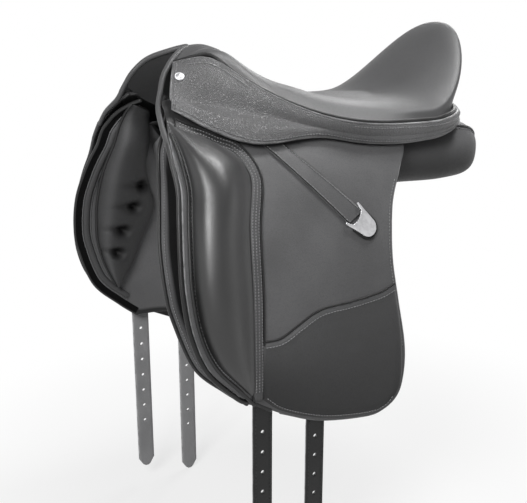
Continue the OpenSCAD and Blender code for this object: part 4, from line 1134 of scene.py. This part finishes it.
binding_plan = banded(sweat_fore, np.linspace(0.01, 0.99, 140), -np.linspace(0.5, 9, 7))
pair(
    "sweat_binding", laid(binding_plan, inner_face + 0.7, inner_face + 0.05, on_inside), binding_hide)
pair("sweat_cord", inner_cord(sweat_fore, 0.0, 2.3, inner_face - sweat_t / 2), cord_hide)
pair("sweat_lines", joined([
    inner_cord(sweat_fore, -10.0, 1.0, inner_face + 0.3, 0.94),
    inner_cord(sweat_fore, -21.5, 0.9, inner_face + 0.3, 0.93),
    inner_cord(pad_hind, 0.5, 1.2, inner_face + 0.6),
]), edge_hide)
pair("pad_cord", inner_cord(pad_fore, 1.0, 1.9, pad_inset + 1.2), cord_hide)
roll_d = np.linspace(-4.2, 4.2, 11)
roll_line = beside(sweat_fore, np.linspace(0.01, 0.93, 120), -15.8)
roll_up = 0.3 + 3.0 * np.sqrt(1 - (roll_d / 4.25) ** 2)
# Painted light: the roll is painted lighter than the panel leather it is made of
pair(
    "sweat_roll", laid(banded(roll_line, fine, roll_d), inner_face + roll_up, inner_face, on_inside), pad_hide,
    shade=2.2)
sweat_row = beside(sweat_fore, np.linspace(0.04, 0.97, 140), -4.5)
pair("sweat_sewing", stitch_shape(
    on_inside(sweat_row, sweat_in), barrel_normal(sweat_row[:, 1], sweat_in), pitch=3.4, length=2.4), sewing)

# Panels, by place along, middle across and up, half width, half height and tilt

panel_front = flap_front - 84
panel_stations = np.array([
    [panel_front, 90, 37, 8, 7, 47], [panel_front - 8, 89, 37, 24, 12, 47],
    [panel_front - 22, 88, 36, 34, 17, 46], [152, 86, 35, 38, 20, 45], [105, 81, 38, 44, 30, 34],
    [55, 77, 40, 46, 37, 22], [0, 75, 39, 43, 42, 12],
    [-60, 75, 38, 43, 42, 6], [-120, 74, 36, 42, 43, 3], [-166, 72, 33, 40, 41.5, 0],
    [28 - panel_back, 68, 31.5, 35, 38.5, 0], [10 - panel_back, 64, 31, 27, 32, 0],
    [3 - panel_back, 61, 30, 16, 20, 0], [-panel_back, 59, 30, 7, 9, 0]])
PANEL_POWER, ROUND_PASSES, REAR_PASSES = 2.6, 4, 40


def squarish(part):
    return np.sign(part) * np.abs(part) ** (2 / PANEL_POWER)


def panel_rings(count, steps):
    turn = TURN * np.arange(steps) / steps
    made = []
    for x, mid_y, mid_z, wide, high, slope in curve(panel_stations, np.linspace(0, 1, count)):
        tilt = math.radians(slope)
        across, up = wide * squarish(np.cos(turn)), high * squarish(np.sin(turn))
        up = np.where(up > 0, up * (1 - 0.3 * fade(x, -185, -221)), up)
        z = mid_z + up * math.cos(tilt) - across * math.sin(tilt)
        y = np.maximum(channel_half, mid_y + across * math.cos(tilt) + up * math.sin(tilt))
        y = np.minimum(y, barrel_y(z, lerp(flap_t / 2 + 14, pad_inset + 2 * gap, clamp((x + 10) / 60))))
        z = np.minimum(z, tree_floor(x + 0 * y, y) - gap)
        made.append(np.stack([x + 0 * y, y, z], 1))
    g = np.array(made)
    for _ in range(ROUND_PASSES):
        g = g + 0.4 * ((np.roll(g, 1, 1) + np.roll(g, -1, 1)) / 2 - g)
    loose = fade(g[1:-1, :, :1], -130, -170)
    for _ in range(REAR_PASSES):
        along = (g[:-2] + g[2:]) / 2
        around = (np.roll(g, 1, 1) + np.roll(g, -1, 1))[1:-1] / 2
        g[1:-1] += 0.45 * loose * ((along + around) / 2 - g[1:-1])
    return g


rings = panel_rings(90, 80)
panel_shape = fan_shape(rings, rings[0].mean(0), rings[-1].mean(0))
# Painted light and shade: the panel is painted darker at the bottom and lighter towards the top
pair(
    "panel", panel_shape, pad_hide, ["panel_cover_SIDE", "panel_cushion_SIDE"],
    shade=lerp(0.15, 4.2, fade(panel_shape[0][:, 2], 0, 60)))
seam_step, sewn_step = 11, 9
rear = rings[:, seam_step, 0] < -38
panel_n = unit((rings[:, seam_step] - rings.mean(1))[rear])
pair("panel_seam", tube_shape(rings[rear, seam_step] + panel_n * 0.6, 1.9, 10), edge_hide)
pair("panel_sewing", stitch_shape(
    rings[rear, sewn_step] + panel_n * 0.1, panel_n, pitch=4.5, length=3.0), sewing)

# Gullet lining and girth webs

lining_half, lining_t = channel_half - 6, 1.2
lx, ly = np.meshgrid(np.linspace(130, -120, 60), np.linspace(-lining_half, lining_half, 20), indexing="ij")
lining = np.stack([lx, ly, top_z(lx, ly)], -1)
lining_n = grid_normals(lining)
lining_n *= np.sign(lining_n[30, 10, 2])
lining = lining - lining_n * (stack + 2 * gap)
lining_shape = sheet_shape(lining, lining - lining_n * lining_t)
piece("gullet_cloth", lining_shape, lining_hide, ["gullet_lining"])

arch_r, arch_t, splay, arch_z = 34.0, 3.5, math.radians(28), 104.955
point_out, web_down, web_t = arch_r + arch_t + 0.1 + 7, 58.0, 2.0
strap_in = flap_t / 2 + 4.5
web_in = strap_in + strap_t + gap


def web_grid(depth):
    out = point_out + 2 - depth + 2 * gap
    top = np.array([
        out * math.cos(splay) + web_down * math.sin(splay),
        arch_z + out * math.sin(splay) - web_down * math.cos(splay)])
    zs = np.linspace(66, 8, 30)
    hung = np.stack([barrel_y(zs, web_in + depth), zs], 1)
    rows = np.concatenate([lerp(top, hung[0], np.linspace(0, 1, 12)[:-1, None]), hung])
    xs = np.linspace(front_strap_x + strap_w / 2 + 3, rear_strap_x - strap_w / 2 - 3, 24)
    return np.stack([np.stack([xs, 0 * xs + y, 0 * xs + z], 1) for y, z in rows])


pair("girth_web", sheet_shape(web_grid(0.0), web_grid(web_t)), web_cloth, ["girth_webs"])

# Girth straps, one length of leather each, with punched holes

strap_high, strap_round, flesh_tone = 30.0, 0.9, 36.0
strap_l = first_hole + (hole_count - 1) * hole_pitch + tip_run
hole_steps = np.array([-8, -4, 0, 4, 8])
hole_reach = hole_steps[-1]
tip_steps = np.array([13, 10, 7, 5, 3, 1.5, 0.4, 0])
# Radius and depth of the rings from the leather round a hole into its mouth
hole_rings = [(5.2, 0.0), (3.6, 0.0), (2.9, 0.12), (hole_r, 0.6)]


def strap_shape(x, fold):
    zs = np.linspace(strap_high, fold, 200)
    run = run_along(np.stack([barrel_y(zs, strap_in), zs], 1))
    bend, half = run[-1], strap_w / 2
    end = bend + strap_l
    holes = bend + first_hole + hole_pitch * np.arange(hole_count)
    rows = np.unique(np.round(np.concatenate([
        np.linspace(0, holes[0] - hole_reach, 40), (holes[:, None] + hole_steps).ravel(),
        np.linspace(holes[-1] + hole_reach, end - 14, 8), end - tip_steps]), 3))
    cols = np.array([-half, strap_round - half, *hole_steps, half - strap_round, half])
    half_w = np.interp(end - rows, [0, 3, 13], [half / 6, half / 2, half])
    nr, nc = len(rows), len(cols)
    low = nr * nc

    def place(s, t, n):
        s, t, n = np.broadcast_arrays(np.asarray(s, float), t, n)
        z = np.interp(s, run, zs)
        y = np.where(s < bend, barrel_y(z, strap_in - n), barrel_y(fold, strap_in) + n)
        z = np.where(s < bend, z, fold - (s - bend))
        return np.stack([x + t, y, z], -1).reshape(-1, 3)

    s_grid = np.repeat(rows[:, None], nc, 1)
    t_grid = cols[None] * (half_w / half)[:, None]
    rounded = np.where(np.abs(cols) > half - 0.1, strap_round, 0.0)[None] + 0 * t_grid
    rounded[[0, -1]] = strap_round
    verts = [place(s_grid, t_grid, -rounded), place(s_grid, t_grid, rounded - strap_t)]
    starts = [int(np.argmin(np.abs(rows - (h - hole_reach)))) for h in holes]
    whole = np.ones((nr - 1, nc - 1), bool)
    for j0 in starts:
        whole[j0:j0 + 4, 2:6] = False
    flat = quads(nr, nc)[whole.ravel()]
    j, i = border(nr, nc)
    faces = [flat, flat[:, [0, 3, 2, 1]] + low, bands([j * nc + i, j * nc + i + low])]
    base = 2 * low
    j, i = border(len(hole_steps), len(hole_steps))
    for j0, h in zip(starts, holes):
        square = (j0 + j) * nc + 2 + i
        ds, dt = rows[j0 + j] - h, cols[2 + i]
        size = np.hypot(ds, dt)
        chain = [square]
        for r, n in hole_rings + [(r, strap_t - n) for r, n in hole_rings[::-1]]:
            verts.append(place(h + ds / size * r, dt / size * r, -n))
            chain.append(base + np.arange(len(square)))
            base += len(square)
        faces.append(bands(chain + [square + low]))
    verts = np.concatenate(verts)
    flat_rim = np.minimum(half_w[:, None] - np.abs(t_grid), np.minimum(s_grid, end - s_grid)).ravel()
    rim = np.full(len(verts), NO_RIM)
    rim[:2 * low] = np.tile(flat_rim, 2)
    shade = np.ones(len(verts))
    shade[low:2 * low] = flesh_tone
    shade[2 * low:].reshape(hole_count, 2, -1)[:, 1] = flesh_tone
    s = np.linspace(4, end - 15, 200)
    rows_sewn = [
        stitch_shape(
            place(s, t, 0.0), unit(place(s, t, 1.0) - place(s, t, 0.0)), pitch=5.0, length=3.4, r=0.42)
        for t in (3 - half, half - 3)]
    return (verts, np.concatenate(faces).tolist(), rim), joined(rows_sewn), shade


for stem, x, fold in (("front", front_strap_x, 31 - flap_drop), ("rear", rear_strap_x, 5 - flap_drop)):
    shape, strap_rows, shade = strap_shape(x, fold)
    y = float(barrel_y(fold, strap_in))
    bend = (f"strap_{stem}_SIDE", (x, y, fold + 10), (x, y, fold - 10))
    pair(
        f"girth_strap_{stem}_leather", shape, strap_hide,
        [f"girth_strap_{stem}_SIDE", "girth_strap_tops"], bend=bend, shade=shade)
    pair(f"girth_strap_{stem}_sewing", strap_rows, strap_sewing, bend=bend)

# Metal and plastic pieces kept from the solids

kept = {
    "tree": tree_shell, "tree_points": tree_shell, "gullet_plate": coated_steel, "gullet_screws": coated_steel,
    "stirrup_bar_rivets": plain_steel, "catch_pins": bright_steel,
}
for side, _ in SIDES:
    kept[f"stirrup_bar_{side}"] = plain_steel
    kept[f"bar_catch_{side}"] = bright_steel
for name, material in kept.items():
    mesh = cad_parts[name].data
    mesh.materials.clear()
    mesh.materials.append(material)

# Floor, light and camera

scene = bpy.context.scene
scene.view_settings.view_transform = "Standard"
WHITE = (1, 1, 1, 1)
floor_z, floor_reach = cad_box[0][2] - 0.001, 6.0
floor_mesh = bpy.data.meshes.new("floor")
floor_corners = [
    (sx * floor_reach, sy * floor_reach, floor_z) for sx, sy in ((-1, -1), (1, -1), (1, 1), (-1, 1))]
floor_mesh.from_pydata(floor_corners, [], [(0, 1, 2, 3)])
floor = bpy.data.objects.new("floor", floor_mesh)
scene.collection.objects.link(floor)
f = paint("floor_paint")
seen = f.seen()
mottle = f.mix(f.noise(3.0, 2.0), (0.88, 0.88, 0.88, 1), (0.92, 0.92, 0.92, 1))
f.finish(Base_Color=f.mix(seen, (0.3, 0.3, 0.3, 1), mottle), Roughness=0.9, Specular_IOR_Level=0.1)
glow = f.node("ShaderNodeEmission", {"Color": WHITE, "Strength": 1.0})
away = f.node("ShaderNodeVectorMath", {0: f.place()}, operation="LENGTH").outputs["Value"]
f.put(f.surface, f.blend(f.math("MULTIPLY", f.range(away, 0.55, 0.95, 0.7, 1.0), seen), f.bsdf, glow))
floor_mesh.materials.append(f.owner)

# White low down and dim overhead where it is seen, an even weak light elsewhere
scene.world = bpy.data.worlds.new("studio")
w = Tree(scene.world, "ShaderNodeOutputWorld")
sight = w.node("ShaderNodeTexCoord").outputs["Generated"]
height = w.node("ShaderNodeSeparateXYZ", {0: sight}).outputs["Z"]
backdrop = w.node("ShaderNodeBackground", {"Color": WHITE, "Strength": w.range(height, 0.15, 0.45, 1.0, 0.12)})
fill_light = w.node("ShaderNodeBackground", {"Color": WHITE, "Strength": 0.14})
w.put(w.surface, w.blend(w.seen(), fill_light, backdrop))


def facing(obj, at, aim):
    obj.location = at
    obj.rotation_euler = (Vector(aim) - Vector(at)).to_track_quat("-Z", "Y").to_euler()
    scene.collection.objects.link(obj)


# Place, aim, side and power of each square lamp
for name, at, aim, size, power in (
        ("over", (-0.36, 0.22, 1.15), (0.0, 0.08, 0.08), 0.42, 12),
        ("key", (1.02, 0.73, 0.66), (0.10, 0.10, 0.0), 0.5, 13.5),
        ("back", (-0.93, -0.60, 0.67), (-0.05, 0.10, 0.1), 0.6, 5.5)):
    light = bpy.data.lights.new(name, "AREA")
    light.shape = "RECTANGLE"
    light.size, light.size_y, light.energy = size, size, power
    facing(bpy.data.objects.new(name, light), at, aim)

camera = bpy.data.objects.new("camera", bpy.data.cameras.new("camera"))
camera.data.sensor_fit = "HORIZONTAL"
camera.data.sensor_width = 36.0
camera.data.lens = 54.65
facing(camera, (0.6024, 0.9049, 0.1996), (0.080, 0.0, -0.100))
scene.camera = camera
